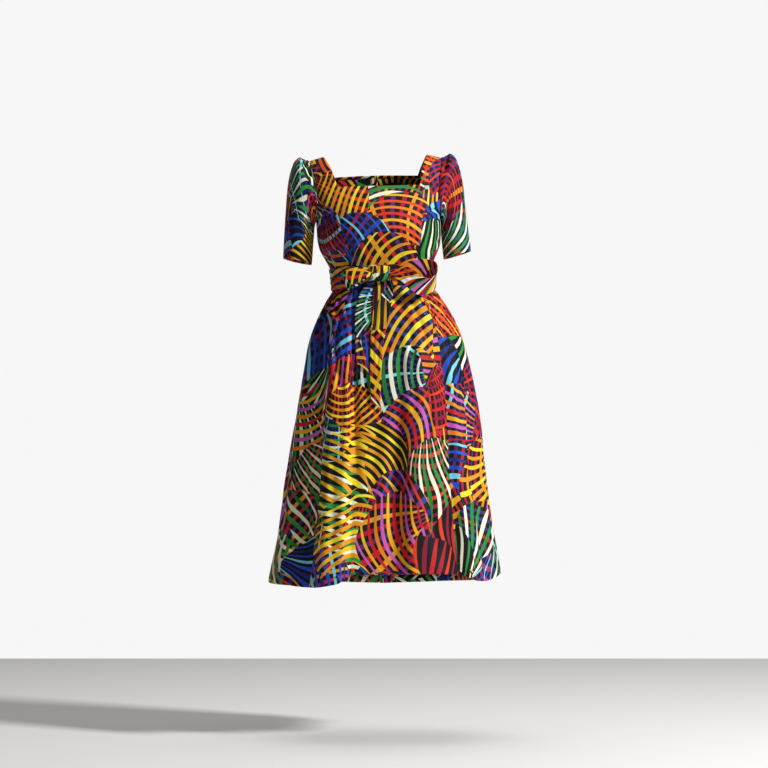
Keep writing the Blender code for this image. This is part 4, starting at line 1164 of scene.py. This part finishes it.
def sleeve_surface(side):
    """The sleeve's surface as a function of turn and along, from its armhole's edge."""
    line = armhole_line(side)
    top, bottom = line[0, 2], line[len(line) // 2, 2]
    share = np.clip((line[:, 2] - (top + bottom) / 2) / ((top - bottom) / 2), -1, 1)
    turns = np.degrees(np.arccos(share))
    half = len(turns) // 2
    turns[half + 1 :] = 360 - turns[half + 1 :]
    arm_turn = np.append(turns, 360.0)
    arm_points = np.concatenate([line, line[:1]])
    return lambda turn, along: sleeve_base(turn, along, arm_turn, arm_points, side)


def sleeve(name, side, material):
    """One short sleeve: a gathered cap sewn round the armhole, open at the cuff, with closer rows in the
    cap."""
    surface = sleeve_surface(side)
    turn = np.linspace(-180, 180, 121)[:, None]
    edge = np.array(ROLL_AT) / SLEEVE_LENGTH
    cap_rows, arm_rows = np.linspace(0.014, CAP_SHARE, 24), np.linspace(CAP_SHARE + 0.01, 0.985, 40)
    along = np.concatenate([edge, cap_rows, arm_rows, 1 - edge[::-1]])[None, :]
    tube = sleeve_oval(turn, along)
    points = surface(turn, along)
    points[-1] = points[0]
    points = stand(points)
    if side < 0:
        tube, points = tube[::-1], points[::-1]
    roll = row_rolls(along[0])[None, :]
    cloth(name, points, material, tube, roll, closed=True,
          turned={"last_row": HEM_TURN, "first_row": SLEEVE_SEAM_TURN})


def sash_band(material):
    """The sash round the waist, over the waist seam, in soft lengthwise folds, closed behind the knot."""
    near_edge = np.array([0.93, 0.975, 1.0])
    share = np.concatenate([-near_edge[::-1], np.linspace(-0.86, 0.86, 23), near_edge])[None, :]
    level = SASH_MIDDLE + SASH_HALF * share
    angle = np.linspace(0, 360, 241)[:, None]
    wrapped = (angle + 180) % 360 - 180
    base = body_base(angle, level)
    normal = body_normal(angle, level)
    out = np.full(np.broadcast(angle, share).shape, SASH_CLEAR + SASH_OUT)
    out = out + SASH_CROWN * (1 - share**2)
    for line in ("low", "middle", "high"):
        place = curve(SASH_FOLDS, "angle", line, wrapped)
        depth = curve(SASH_FOLDS, "angle", line + "_depth", wrapped)
        off = (share - place) / SASH_FOLD_WIDTH
        out = out - depth * np.exp(-np.where(off > 0, SASH_FOLD_STEEP, SASH_FOLD_SOFT) * off**2)
    pinched = 0.0
    for pinch in SASH_PINCHES:
        pinched = pinched + pinch.strength * np.exp(-(((wrapped - pinch.turn) / pinch.width) ** 2))
    out = out - PINCH_DEPTH * pinched * np.cos(share * PINCH_WAVES)
    points = base + normal * out[..., None]
    points[-1] = points[0]
    roll = row_rolls(share[0])[None, :]
    cloth("sash_band", stand(points), material, roll=roll, thick=SASH_THICK, closed=True,
          turned={"first_row": SASH_TURN, "last_row": SASH_TURN})


def ribbon_frame(rows, count):
    """The middle line, the crosswise direction, the facing and the half width of a bow loop's ribbon."""
    table = np.array(rows)
    length = np.concatenate([[0], np.cumsum(np.linalg.norm(np.diff(table[:, :3], axis=0), axis=1))])
    stations = np.linspace(0, length[-1], count + 1)
    knots = [namedtuple("Knot", "at value")(a, 0) for a in length]
    smooth = []
    for column in range(table.shape[1]):
        line = [knot._replace(value=v) for knot, v in zip(knots, table[:, column])]
        smooth.append(curve(line, "at", "value", stations))
    x, y, z, half, lean_x, lean_y = smooth
    middle = np.stack([x, y, z], -1)
    up = np.stack([lean_x, -lean_y, np.ones_like(x)], -1)
    up /= np.linalg.norm(up, axis=1, keepdims=True)
    ahead = np.gradient(middle, axis=0)
    facing = np.cross(up, ahead)
    facing /= np.linalg.norm(facing, axis=1, keepdims=True)
    return middle, up, facing, half, stations / length[-1]


def bow_loop(name, rows, material):
    """One loop of the bow: a ribbon that leaves the knot, turns and comes back, with folds that run out
    of the knot and die away."""
    middle, up, facing, half, share = ribbon_frame(rows, LOOP_STATIONS)
    across = np.linspace(-1, 1, RIBBON_COLUMNS)
    points = middle[:, None, :] + up[:, None, :] * (half[:, None] * across[None, :])[..., None]
    near_knot = 1 - ramp(share, *LOOP_FOLDS_OUT) + ramp(share, *LOOP_FOLDS_BACK)
    wave = np.zeros((len(share), len(across)))
    for fold in LOOP_FOLDS:
        spread = np.exp(-(((across[None, :] - fold.place) / fold.width) ** 2))
        wave += fold.depth * spread * near_knot[:, None]
    slump = SLUMP * np.sin(across * 2.1 + 0.6)[None, :] * ramp(share, *SLUMP_COMES)[:, None]
    wave = wave * (LOOP_FOLD_LEAST + half[:, None] / LOOP_WIDTH_SCALE)
    points = points - facing[:, None, :] * (wave + slump)[..., None]
    roll = np.clip((np.abs(across) - RIBBON_EDGE) / (1 - RIBBON_EDGE), 0, 1)[None, :, None] ** 2
    points = points - up[:, None, :] * (np.sign(across)[None, :, None] * roll * RIBBON_EDGE_ROLL)
    cloth(name, points, material, thick=BOW_THICK, offset=0.0)


def degrees_at(x, level):
    """The turn round the dress, near its front, at which its oval stands this far to the side."""
    angles = np.linspace(-60, 60, 241)
    found = [np.interp(a, oval(angles, b)[0], angles) for a, b in np.broadcast(x, level)]
    return np.array(found).reshape(np.broadcast(x, level).shape)


def bow_tail(name, rows, point, folds, material):
    """One tail of the bow, hanging down the front of the skirt, its end cut on the slant."""
    down = np.linspace(rows[-1].z, rows[0].z, TAIL_ROWS)[None, :]
    across = np.linspace(0, 1, RIBBON_COLUMNS)[:, None]
    left, right, off_left, off_right = (
        curve(rows[::-1], "z", column, down) for column in ("left", "right", "off_left", "off_right")
    )
    slant = ramp(-down, -rows[-2].z, -rows[-1].z) * point * across
    level = down + slant
    x = left * (1 - across) + right * across - curve(STANCE, "height", "sway", level)
    angle = degrees_at(x, level)
    off = off_left * (1 - across) + off_right * across + BOW_WALL
    drop = (rows[0].z - down) / (rows[0].z - rows[-1].z)
    for fold in folds:
        spread = np.exp(-(((across - fold.place - fold.drift * drop) / fold.width) ** 2))
        off = off - fold.depth * spread * (1 - ramp(drop, fold.reach * TAIL_FOLD_FADES, fold.reach))
    edge = np.clip((np.abs(across - 0.5) - TAIL_EDGE) / (0.5 - TAIL_EDGE), 0, 1) ** 2
    off = off - TAIL_EDGE_ROLL * edge
    points = stand(body_base(angle, level) + body_normal(angle, level) * off[..., None])
    cloth(name, points, material, thick=BOW_THICK)


def bow_knot(material):
    """The knot, a turn of sash in soft folds wrapped over the roots of the loops."""
    turn = np.radians(np.linspace(360, 0, 97))[:, None]
    across = np.linspace(-1, 1, 33)[None, :]
    pinch = 1 - KNOT_PINCH * across**2
    folds = 0.0
    for fold in KNOT_FOLDS:
        off = across - fold.place - fold.lean * np.sin(turn)
        folds = folds + fold.depth * np.exp(-((off / fold.width) ** 2))
    edge = KNOT_EDGE_ROLL * np.clip((np.abs(across) - KNOT_EDGE) / (1 - KNOT_EDGE), 0, 1) ** 2
    depth = KNOT_HALF[1] * pinch - folds * KNOT_FRONT_SHARE - edge
    height = KNOT_HALF[2] * pinch - folds - edge
    corners = np.abs(np.cos(turn)) ** KNOT_SQUARE + np.abs(np.sin(turn)) ** KNOT_SQUARE
    square = corners ** (-1 / KNOT_SQUARE)
    x = KNOT_CENTRE[0] + KNOT_HALF[0] * across + KNOT_TILT * height * square * np.sin(turn)
    y = KNOT_CENTRE[1] - depth * square * np.cos(turn)
    z = KNOT_CENTRE[2] + height * square * np.sin(turn)
    points = np.stack(np.broadcast_arrays(x, y, z), -1)
    points[-1] = points[0]
    cloth("bow_knot", points, material, thick=BOW_THICK, closed=True,
          turned={"first_row": SASH_TURN, "last_row": SASH_TURN})


def stitches(name, points, normals, material):
    """A row of stitches along a line of points: each a short thread sunk at its ends."""
    bm = bmesh.new()
    for start, end, out in zip(points[:-1:2], points[1::2], normals[::2]):
        start, end, out = Vector(start), Vector(end), Vector(out)
        along = (end - start).normalized()
        aside = along.cross(out).normalized()
        up = aside.cross(along)
        half = (end - start).length / 2
        place = Matrix((along * half, aside * THREAD_HALF, up * THREAD_HALF)).transposed().to_4x4()
        place.translation = (start + end) / 2 + up * THREAD_LIFT
        bmesh.ops.create_uvsphere(bm, u_segments=6, v_segments=4, radius=1.0, matrix=place)
    piece = placed(name, bm)
    piece.data.shade_smooth()
    piece.data.materials.append(material)
    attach(piece, "root")


def by_length(points, normals, long, gap):
    """Pairs of places along a line: where each stitch starts and ends."""
    run = np.concatenate([[0], np.cumsum(np.linalg.norm(np.diff(points, axis=0), axis=1))])
    count = int(run[-1] / (long + gap))
    starts = np.arange(count) * (run[-1] / count)
    places = np.sort(np.concatenate([starts, starts + long]))
    return [
        np.stack([np.interp(places, run, line[:, k]) for k in range(3)], -1)
        for line in (points, normals)
    ]


def hem_stitching(material):
    """The hem's row of stitches, just inside the edge of its turning, and one row round each cuff."""
    angle = np.linspace(-180, 180, 1801)
    level = HEM + HEM_TURN - STITCH_INSET
    points = body_points(angle[:, None], np.array([[level]]))[:, 0]
    normals = stand(body_base(angle, level) + body_normal(angle, level)) - stand(body_base(angle, level))
    stitches("hem_stitching", *by_length(points, normals, *HEM_STITCH), material)
    for name, side in (("cuff_stitching_left", -1), ("cuff_stitching_right", 1)):
        surface = sleeve_surface(side)
        turn = np.linspace(0, 360, 361)
        along = 1 - (HEM_TURN - STITCH_INSET) / SLEEVE_LENGTH
        points = stand(surface(turn, along))
        around = surface(turn + 0.5, along) - surface(turn - 0.5, along)
        onward = surface(turn, along + 0.004) - surface(turn, along - 0.004)
        normals = np.cross(around, onward) * side
        normals /= np.linalg.norm(normals, axis=-1, keepdims=True)
        stitches(name, *by_length(points, normals, *CUFF_STITCH), material)


def linear(code):
    """A colour written as sRGB hex, turned to linear light."""
    parts = [int(code[k : k + 2], 16) / 255 for k in (0, 2, 4)]
    return [part / 12.92 if part <= 0.04045 else ((part + 0.055) / 1.055) ** 2.4 for part in parts] + [1.0]


def add(tree, kind, inputs=None, **settings):
    """Adds a node with its settings. Each input is a value or another node's socket."""
    made = tree.nodes.new(kind)
    for key, value in settings.items():
        setattr(made, key, value)
    for key, value in (inputs or {}).items():
        if isinstance(value, bpy.types.NodeSocket):
            tree.links.new(value, made.inputs[key])
        else:
            made.inputs[key].default_value = value
    return made


# The sum behind a layer of fans, step by step: result, operation and its terms. x and y are the place
# in units of the fan's radius. Fans stand in rows a radius apart, each row set over by half a fan, and
# a lower fan lies over the one behind it
FAN_PLACE = [
    ("row", "FLOOR", "y"),
    ("up", "SUBTRACT", "y", "row"),
    ("odd", "FLOORED_MODULO", "row", 2.0),
    ("even", "SUBTRACT", 1.0, "odd"),
    ("from_odd", "SUBTRACT", "x", "odd"),
    ("half_odd", "MULTIPLY", "from_odd", 0.5),
    ("number_odd", "ROUND", "half_odd"),
    ("near_x", "MULTIPLY_ADD", "number_odd", 2.0, "odd"),
    ("from_even", "SUBTRACT", "x", "even"),
    ("half_even", "MULTIPLY", "from_even", 0.5),
    ("number_even", "ROUND", "half_even"),
    ("next_x", "MULTIPLY_ADD", "number_even", 2.0, "even"),
    ("aside", "SUBTRACT", "x", "near_x"),
    ("aside_squared", "MULTIPLY", "aside", "aside"),
    ("reach_squared", "MULTIPLY_ADD", "up", "up", "aside_squared"),
    ("reach", "SQRT", "reach_squared"),
    ("inside", "LESS_THAN", "reach", 1.0),
    ("outside", "SUBTRACT", 1.0, "inside"),
    ("step_x", "SUBTRACT", "near_x", "next_x"),
    ("fan_x", "MULTIPLY_ADD", "inside", "step_x", "next_x"),
    ("fan_y", "ADD", "row", "outside"),
]

# The stripes in a fan: arcs round a point off to one side of it, or rays out of that point, widest in
# the middle of the fan; the bars between them run the other way; a white crescent along some fans' tops
FAN_STRIPES = [
    ("way", "MULTIPLY", "chance_way", 2 * math.pi),
    ("way_cos", "COSINE", "way"),
    ("way_sin", "SINE", "way"),
    ("point_x", "MULTIPLY_ADD", "way_cos", "point_far", "fan_x"),
    ("point_y", "MULTIPLY_ADD", "way_sin", "point_far", "fan_y"),
    ("off_x", "SUBTRACT", "x", "point_x"),
    ("off_y", "SUBTRACT", "y", "point_y"),
    ("off_x_squared", "MULTIPLY", "off_x", "off_x"),
    ("distance_squared", "MULTIPLY_ADD", "off_y", "off_y", "off_x_squared"),
    ("distance", "SQRT", "distance_squared"),
    ("bearing", "ARCTAN2", "off_y", "off_x"),
    ("arcs", "MULTIPLY", "distance", "arcs_in_radius"),
    ("rays", "MULTIPLY", "bearing", "rays_in_radian"),
    ("rayed", "GREATER_THAN", "chance_kind", "share_arcs"),
    ("differ", "SUBTRACT", "rays", "arcs"),
    ("plain_count", "MULTIPLY_ADD", "rayed", "differ", "arcs"),
    ("count", "MULTIPLY_ADD", "chance_start", 9.0, "plain_count"),
    ("number", "FLOOR", "count"),
    ("part", "SUBTRACT", "count", "number"),
    ("own_x", "SUBTRACT", "x", "fan_x"),
    ("own_y", "SUBTRACT", "y", "fan_y"),
    ("own_y_squared", "MULTIPLY", "own_y", "own_y"),
    ("own_squared", "MULTIPLY_ADD", "own_x", "own_x", "own_y_squared"),
    ("fuller", "MULTIPLY_ADD", "own_squared", STRIPE_NARROWS, STRIPE_FULLEST),
    ("drawn_width", "MULTIPLY", "fuller", "stripe_width"),
    ("middle_part", "SUBTRACT", "part", 0.5),
    ("from_middle", "ABSOLUTE", "middle_part"),
    ("half_width", "MULTIPLY", "drawn_width", 0.5),
    ("painted", "LESS_THAN", "from_middle", "half_width"),
    ("shade", "FLOORED_MODULO", "number", 4.0),
    ("family_wide", "MULTIPLY", "chance_family", float(len(STRIPES))),
    ("family", "FLOOR", "family_wide"),
    ("colour_number", "MULTIPLY_ADD", "family", 4.0, "shade"),
    ("colour_middle", "ADD", "colour_number", 0.5),
    ("colour_place", "DIVIDE", "colour_middle", 4.0 * len(STRIPES)),
    ("there", "LESS_THAN", "chance_there", "share_there"),
    ("cover", "MULTIPLY", "painted", "there"),
    ("solid", "LESS_THAN", "chance_solid", "share_solid"),
    ("backed", "MULTIPLY", "solid", "there"),
    ("both", "ADD", "rays", "arcs"),
    ("bar_plain", "SUBTRACT", "both", "plain_count"),
    ("bar_count", "MULTIPLY_ADD", "chance_start", 7.0, "bar_plain"),
    ("bar_number", "FLOOR", "bar_count"),
    ("bar_part", "SUBTRACT", "bar_count", "bar_number"),
    ("bar_middle", "SUBTRACT", "bar_part", 0.5),
    ("bar_away", "ABSOLUTE", "bar_middle"),
    ("bar_inside", "LESS_THAN", "bar_away", BAR_HALF),
    ("barred", "LESS_THAN", "chance_solid", "share_barred"),
    ("bar_there", "MULTIPLY", "barred", "there"),
    ("bar_cover", "MULTIPLY", "bar_inside", "bar_there"),
    ("bar_shade", "FLOORED_MODULO", "bar_number", 4.0),
    ("bar_wide", "MULTIPLY", "chance_way", float(len(BARS))),
    ("bar_family", "FLOOR", "bar_wide"),
    ("bar_colour", "MULTIPLY_ADD", "bar_family", 4.0, "bar_shade"),
    ("bar_colour_middle", "ADD", "bar_colour", 0.5),
    ("bar_place", "DIVIDE", "bar_colour_middle", 4.0 * len(BARS)),
    ("rim_from", "MULTIPLY_ADD", "own_y_squared", CRESCENT_WIDENS, CRESCENT_EDGE),
    ("rim_outer", "LESS_THAN", "reach", CRESCENT_EDGE),
    ("rim_inner", "GREATER_THAN", "reach", "rim_from"),
    ("rim", "MULTIPLY", "rim_outer", "rim_inner"),
    ("rim_chosen", "GREATER_THAN", "chance_rim", CRESCENT_CHANCE),
    ("rim_kept", "MULTIPLY", "rim", "rim_chosen"),
    ("rim_cover", "MULTIPLY", "rim_kept", "there"),
]


def work_out(tree, steps, known):
    """Adds the nodes of a sum written as steps, and keeps each result by its name."""
    for result, operation, *terms in steps:
        inputs = {k: known.get(term, term) for k, term in enumerate(terms)}
        known[result] = add(tree, "ShaderNodeMath", inputs, operation=operation, label=result).outputs[0]


def palette(tree, place, families):
    """The print's plain colours, one after another, picked by a place from 0 to 1."""
    paint = add(tree, "ShaderNodeValToRGB", {0: place})
    colours = [code for family in families for code in family]
    stops = paint.color_ramp
    stops.interpolation = "CONSTANT"
    while len(stops.elements) < len(colours):
        stops.elements.new(0.999)
    for k, (stop, code) in enumerate(zip(stops.elements, colours)):
        stop.position = k / len(colours)
        stop.color = linear(code)
    return paint.outputs[0]


def fan_layer(tree, place, layer, turn, width):
    """One layer of the print: fans of stripes, taller than they are wide, on a cloth turned by some
    degrees. width is the share of its pitch that a stripe takes."""
    scale = (1 / layer.radius, 1 / (FAN_TALL * layer.radius), 1 / layer.radius)
    turned = (0.0, 0.0, math.radians(turn + layer.turn))
    mapped = add(tree, "ShaderNodeMapping", {"Vector": place, "Location": (*layer.start, 0.0),
                 "Rotation": turned, "Scale": scale}, vector_type="POINT")
    split = add(tree, "ShaderNodeSeparateXYZ", {0: mapped.outputs[0]})
    known = {"x": split.outputs[0], "y": split.outputs[1], "stripe_width": width,
             "point_far": layer.point_far, "share_arcs": layer.arcs, "share_there": layer.there,
             "share_solid": layer.solid, "share_barred": layer.barred}
    known["arcs_in_radius"] = layer.radius / layer.stripe
    rays_in_turn = 4 * round(2 * math.pi * layer.point_far * layer.radius / layer.stripe / 4)
    known["rays_in_radian"] = rays_in_turn / (2 * math.pi)
    work_out(tree, FAN_PLACE, known)
    for names, shift in ((("chance_way", "chance_kind", "chance_start"), 0.0),
                         (("chance_family", "chance_there", "chance_solid"), SECOND_SEED)):
        key = add(tree, "ShaderNodeCombineXYZ", {0: known["fan_x"], 1: known["fan_y"],
                  2: layer.seed + shift})
        chance = add(tree, "ShaderNodeTexWhiteNoise", {"Vector": key.outputs[0]}, noise_dimensions="3D")
        parts = add(tree, "ShaderNodeSeparateColor", {0: chance.outputs["Color"]})
        known.update({name: parts.outputs[k] for k, name in enumerate(names)})
        known["chance_rim"] = chance.outputs["Value"]
    work_out(tree, FAN_STRIPES, known)
    known["paint"] = palette(tree, known["colour_place"], STRIPES)
    known["bar_paint"] = palette(tree, known["bar_place"], BARS)
    return known


def new_material(name):
    """A new material and its shader."""
    material = bpy.data.materials.new(name)
    material.use_nodes = True
    return material, material.node_tree.nodes["Principled BSDF"]


def set_finish(shader, values):
    """Sets the shader's plain values, by the names of its sockets."""
    for name, value in values.items():
        shader.inputs[name].default_value = value


def wax_print(name, turn):
    """Plain woven cotton with a wax print on both faces, calendered: flat full colours on near black,
    thin crackle lines where the wax broke, a matt face with a faint sheen at a glancing angle."""
    material, shader = new_material(name)
    tree = material.node_tree
    flat = add(tree, "ShaderNodeUVMap", uv_map="flat_cut").outputs[0]
    # The hand-drawn sway of the stripes, up to about 12 mm, and the small waver of their edges
    sway = add(tree, "ShaderNodeTexNoise", {"Vector": flat, "Scale": SWAY_OFTEN, "Detail": 0.5},
               noise_dimensions="2D")
    centred = add(tree, "ShaderNodeVectorMath", {0: sway.outputs["Color"], 1: (0.5, 0.5, 0.5)},
                  operation="SUBTRACT")
    wide = add(tree, "ShaderNodeVectorMath", {0: centred.outputs[0], "Scale": SWAY_WIDE}, operation="SCALE")
    swayed = add(tree, "ShaderNodeVectorMath", {0: flat, 1: wide.outputs[0]}, operation="ADD").outputs[0]
    brush = add(tree, "ShaderNodeTexNoise", {"Vector": flat, "Scale": BRUSH_OFTEN, "Detail": 1.0},
                noise_dimensions="2D")
    width = add(tree, "ShaderNodeMath", {0: brush.outputs[0], 1: BRUSH_VARIES, 2: BRUSH_LEAST},
                operation="MULTIPLY_ADD").outputs[0]

    # The under layer's bars and stripes, then the over layer's, on plain ground where a fan has it. A Mix
    # node's colours are its inputs 6 and 7 and its output 2
    under = fan_layer(tree, swayed, UNDER_FANS, turn, width)
    over = fan_layer(tree, swayed, OVER_FANS, turn, width)
    ground = linear(GROUND)
    colour = ground
    for cover, paint in (
        (under["bar_cover"], under["bar_paint"]),
        (under["cover"], under["paint"]),
        (over["backed"], ground),
        (over["bar_cover"], over["bar_paint"]),
        (over["cover"], over["paint"]),
        (over["rim_cover"], linear(CRESCENT)),
    ):
        laid = add(tree, "ShaderNodeMix", {0: cover, 6: colour, 7: paint}, data_type="RGBA")
        colour = laid.outputs[2]

    # Crackle, thin dark lines about 25 mm apart where the wax cracked, drawn 0.5 mm wide
    crack = add(tree, "ShaderNodeTexVoronoi", {"Vector": swayed, "Scale": 1 / CRACKLE_APART},
                feature="DISTANCE_TO_EDGE", voronoi_dimensions="2D")
    crackle = add(tree, "ShaderNodeMath", {0: crack.outputs["Distance"], 1: CRACKLE_HALF},
                  operation="LESS_THAN")
    patches = add(tree, "ShaderNodeTexNoise", {"Vector": flat, "Scale": PATCH_OFTEN}, noise_dimensions="2D")
    where = add(tree, "ShaderNodeMath", {0: patches.outputs[0], 1: CRACKLE_ABOVE}, operation="GREATER_THAN")
    faint = add(tree, "ShaderNodeMath", {0: crackle.outputs[0], 1: where.outputs[0]}, operation="MULTIPLY")
    faint = add(tree, "ShaderNodeMath", {0: faint.outputs[0], 1: CRACKLE_STRENGTH}, operation="MULTIPLY")
    cracked = add(tree, "ShaderNodeMix", {0: faint.outputs[0], 6: colour, 7: linear(CRACKLE)},
                  data_type="RGBA")
    tree.links.new(cracked.outputs[2], shader.inputs["Base Color"])

    # The weave, really about 30 threads a centimetre, drawn far coarser, at 5.7 mm, so that it shows
    bands = []
    for axis in ("X", "Y"):
        scale = 1000 / WEAVE_RADIAN_MM / RADIANS_IN_UNIT
        thread = add(tree, "ShaderNodeTexWave", {"Vector": flat, "Scale": scale, "Distortion": 0.6},
                     bands_direction=axis)
        bands.append(thread.outputs["Fac"])
    weave = add(tree, "ShaderNodeMath", {0: bands[0], 1: bands[1]}, operation="MULTIPLY")
    bump = add(tree, "ShaderNodeBump", {"Strength": 0.18, "Distance": 0.0004, "Height": weave.outputs[0]})
    tree.links.new(bump.outputs[0], shader.inputs["Normal"])
    rough = add(tree, "ShaderNodeMapRange", {"Value": patches.outputs[0], "To Min": 0.62, "To Max": 0.74})
    tree.links.new(rough.outputs[0], shader.inputs["Roughness"])
    set_finish(shader, {"IOR": 1.47, "Metallic": 0.0, "Specular IOR Level": 0.28, "Sheen Weight": 0.03,
                        "Sheen Roughness": 0.4})
    return material


def thread_material():
    """Spun polyester sewing thread, dyed near black: a fine twist that catches a little light."""
    material, shader = new_material("sewing_thread_spun_polyester")
    tree = material.node_tree
    place = add(tree, "ShaderNodeTexCoord").outputs["Object"]
    twist = add(tree, "ShaderNodeTexNoise", {"Vector": place, "Scale": 900.0})
    tone = add(tree, "ShaderNodeMix", {0: twist.outputs[0], 6: linear(THREAD), 7: linear(THREAD_LIGHT)},
               data_type="RGBA")
    tree.links.new(tone.outputs[2], shader.inputs["Base Color"])
    set_finish(shader, {"Roughness": 0.5, "IOR": 1.5})
    return material


# The studio: the floor's level and half size, the paints, how much the wall lights and how bright it looks,
# the point that the lights face, and each light's place, size and power
FLOOR_LEVEL = -1.49
FLOOR_HALF = 2.8
FLOOR_PAINT = "FAF9F7"
WALL_PAINT = "FAFAFA"
WALL_LIGHT = 0.08
WALL_SEEN = 0.97
LIT_POINT = (0, 0, -0.5)
Lamp = namedtuple("Lamp", "name place size power")
LAMPS = [
    Lamp("key_light", (4.3, -3.0, 2.4), 0.8, 365.0),
    Lamp("overhead_light", (0.0, 0.6, 4.2), 4.0, 100.0),
]

# The camera stands this far in front of the dress, a little to its side, and looks up a little: rise is
# how much its middle line rises on the way to the dress
CAMERA_AWAY = 7.0
CAMERA_ASIDE = 0.0077
CAMERA_LEVEL = -0.79
CAMERA_RISE = 0.201
METRES_A_PIXEL = 0.00256
PICTURE_PIXELS = 768
SENSOR = 36.0


def studio():
    """The pale floor, the soft lights and the camera at the photograph's angle."""
    bm = bmesh.new()
    bmesh.ops.create_grid(bm, x_segments=1, y_segments=1, size=FLOOR_HALF)
    bmesh.ops.translate(bm, verts=bm.verts[:], vec=(0, 0, FLOOR_LEVEL))
    floor = placed("studio_floor", bm)
    paint, shader = new_material("studio_floor_matt_paint")
    set_finish(shader, {"Base Color": linear(FLOOR_PAINT), "Roughness": 0.9})
    floor.data.materials.append(paint)

    # The plain wall behind is bright only where the camera sees it, so that it hardly lights the dress
    world = bpy.data.worlds.new("studio")
    world.use_nodes = True
    wall = world.node_tree.nodes["Background"]
    wall.inputs["Color"].default_value = linear(WALL_PAINT)
    ray = add(world.node_tree, "ShaderNodeLightPath")
    glow = add(world.node_tree, "ShaderNodeMapRange", {"Value": ray.outputs["Is Camera Ray"],
               "To Min": WALL_LIGHT, "To Max": WALL_SEEN})
    world.node_tree.links.new(glow.outputs[0], wall.inputs["Strength"])
    bpy.context.scene.world = world

    for lamp in LAMPS:
        light = bpy.data.lights.new(lamp.name, "AREA")
        light.shape = "SQUARE"
        light.size = lamp.size
        light.energy = lamp.power
        stood = bpy.data.objects.new(lamp.name, light)
        stood.location = lamp.place
        stood.rotation_euler = (Vector(lamp.place) - Vector(LIT_POINT)).to_track_quat("Z", "Y").to_euler()
        bpy.context.scene.collection.objects.link(stood)

    lens = bpy.data.cameras.new("camera")
    camera = bpy.data.objects.new("camera", lens)
    camera.location = (CAMERA_ASIDE, -CAMERA_AWAY, CAMERA_LEVEL)
    camera.rotation_euler = (math.pi / 2 + math.atan2(CAMERA_RISE, CAMERA_AWAY), 0.0, 0.0)
    lens.sensor_width = SENSOR
    lens.lens = SENSOR * math.hypot(CAMERA_AWAY, CAMERA_RISE) / (PICTURE_PIXELS * METRES_A_PIXEL)
    bpy.context.scene.collection.objects.link(camera)
    bpy.context.scene.camera = camera
    bpy.context.scene.view_settings.view_transform = "Standard"


def main():
    """Makes the studio, then the cloth of each solid, then the stitching."""
    studio()
    cotton = wax_print("wax_print_cotton_woven", 0.0)
    sash = wax_print("wax_print_sash_woven", SASH_PRINT_TURN)
    bodice_front_centre(cotton)
    bodice_front_side("bodice_front_side_left", -1, cotton)
    bodice_front_side("bodice_front_side_right", 1, cotton)
    bodice_back("bodice_back_left", -1, cotton)
    bodice_back("bodice_back_right", 1, cotton)
    sleeve("sleeve_left", -1, cotton)
    sleeve("sleeve_right", 1, cotton)
    skirt_panel("skirt_front_centre", -PRINCESS_SKIRT, PRINCESS_SKIRT, cotton)
    skirt_panel("skirt_front_side_left", -90, -PRINCESS_SKIRT, cotton)
    skirt_panel("skirt_front_side_right", PRINCESS_SKIRT, 90, cotton)
    skirt_panel("skirt_back_left", -180, -90, cotton)
    skirt_panel("skirt_back_right", 90, 180, cotton)
    sash_band(sash)
    bow_knot(sash)
    bow_loop("bow_loop_left", LEFT_LOOP, sash)
    bow_loop("bow_loop_right", RIGHT_LOOP, sash)
    bow_tail("bow_tail_front", FRONT_TAIL, FRONT_TAIL_POINT, FRONT_TAIL_FOLDS, sash)
    bow_tail("bow_tail_side", SIDE_TAIL, SIDE_TAIL_POINT, SIDE_TAIL_FOLDS, sash)
    hem_stitching(thread_material())


main()
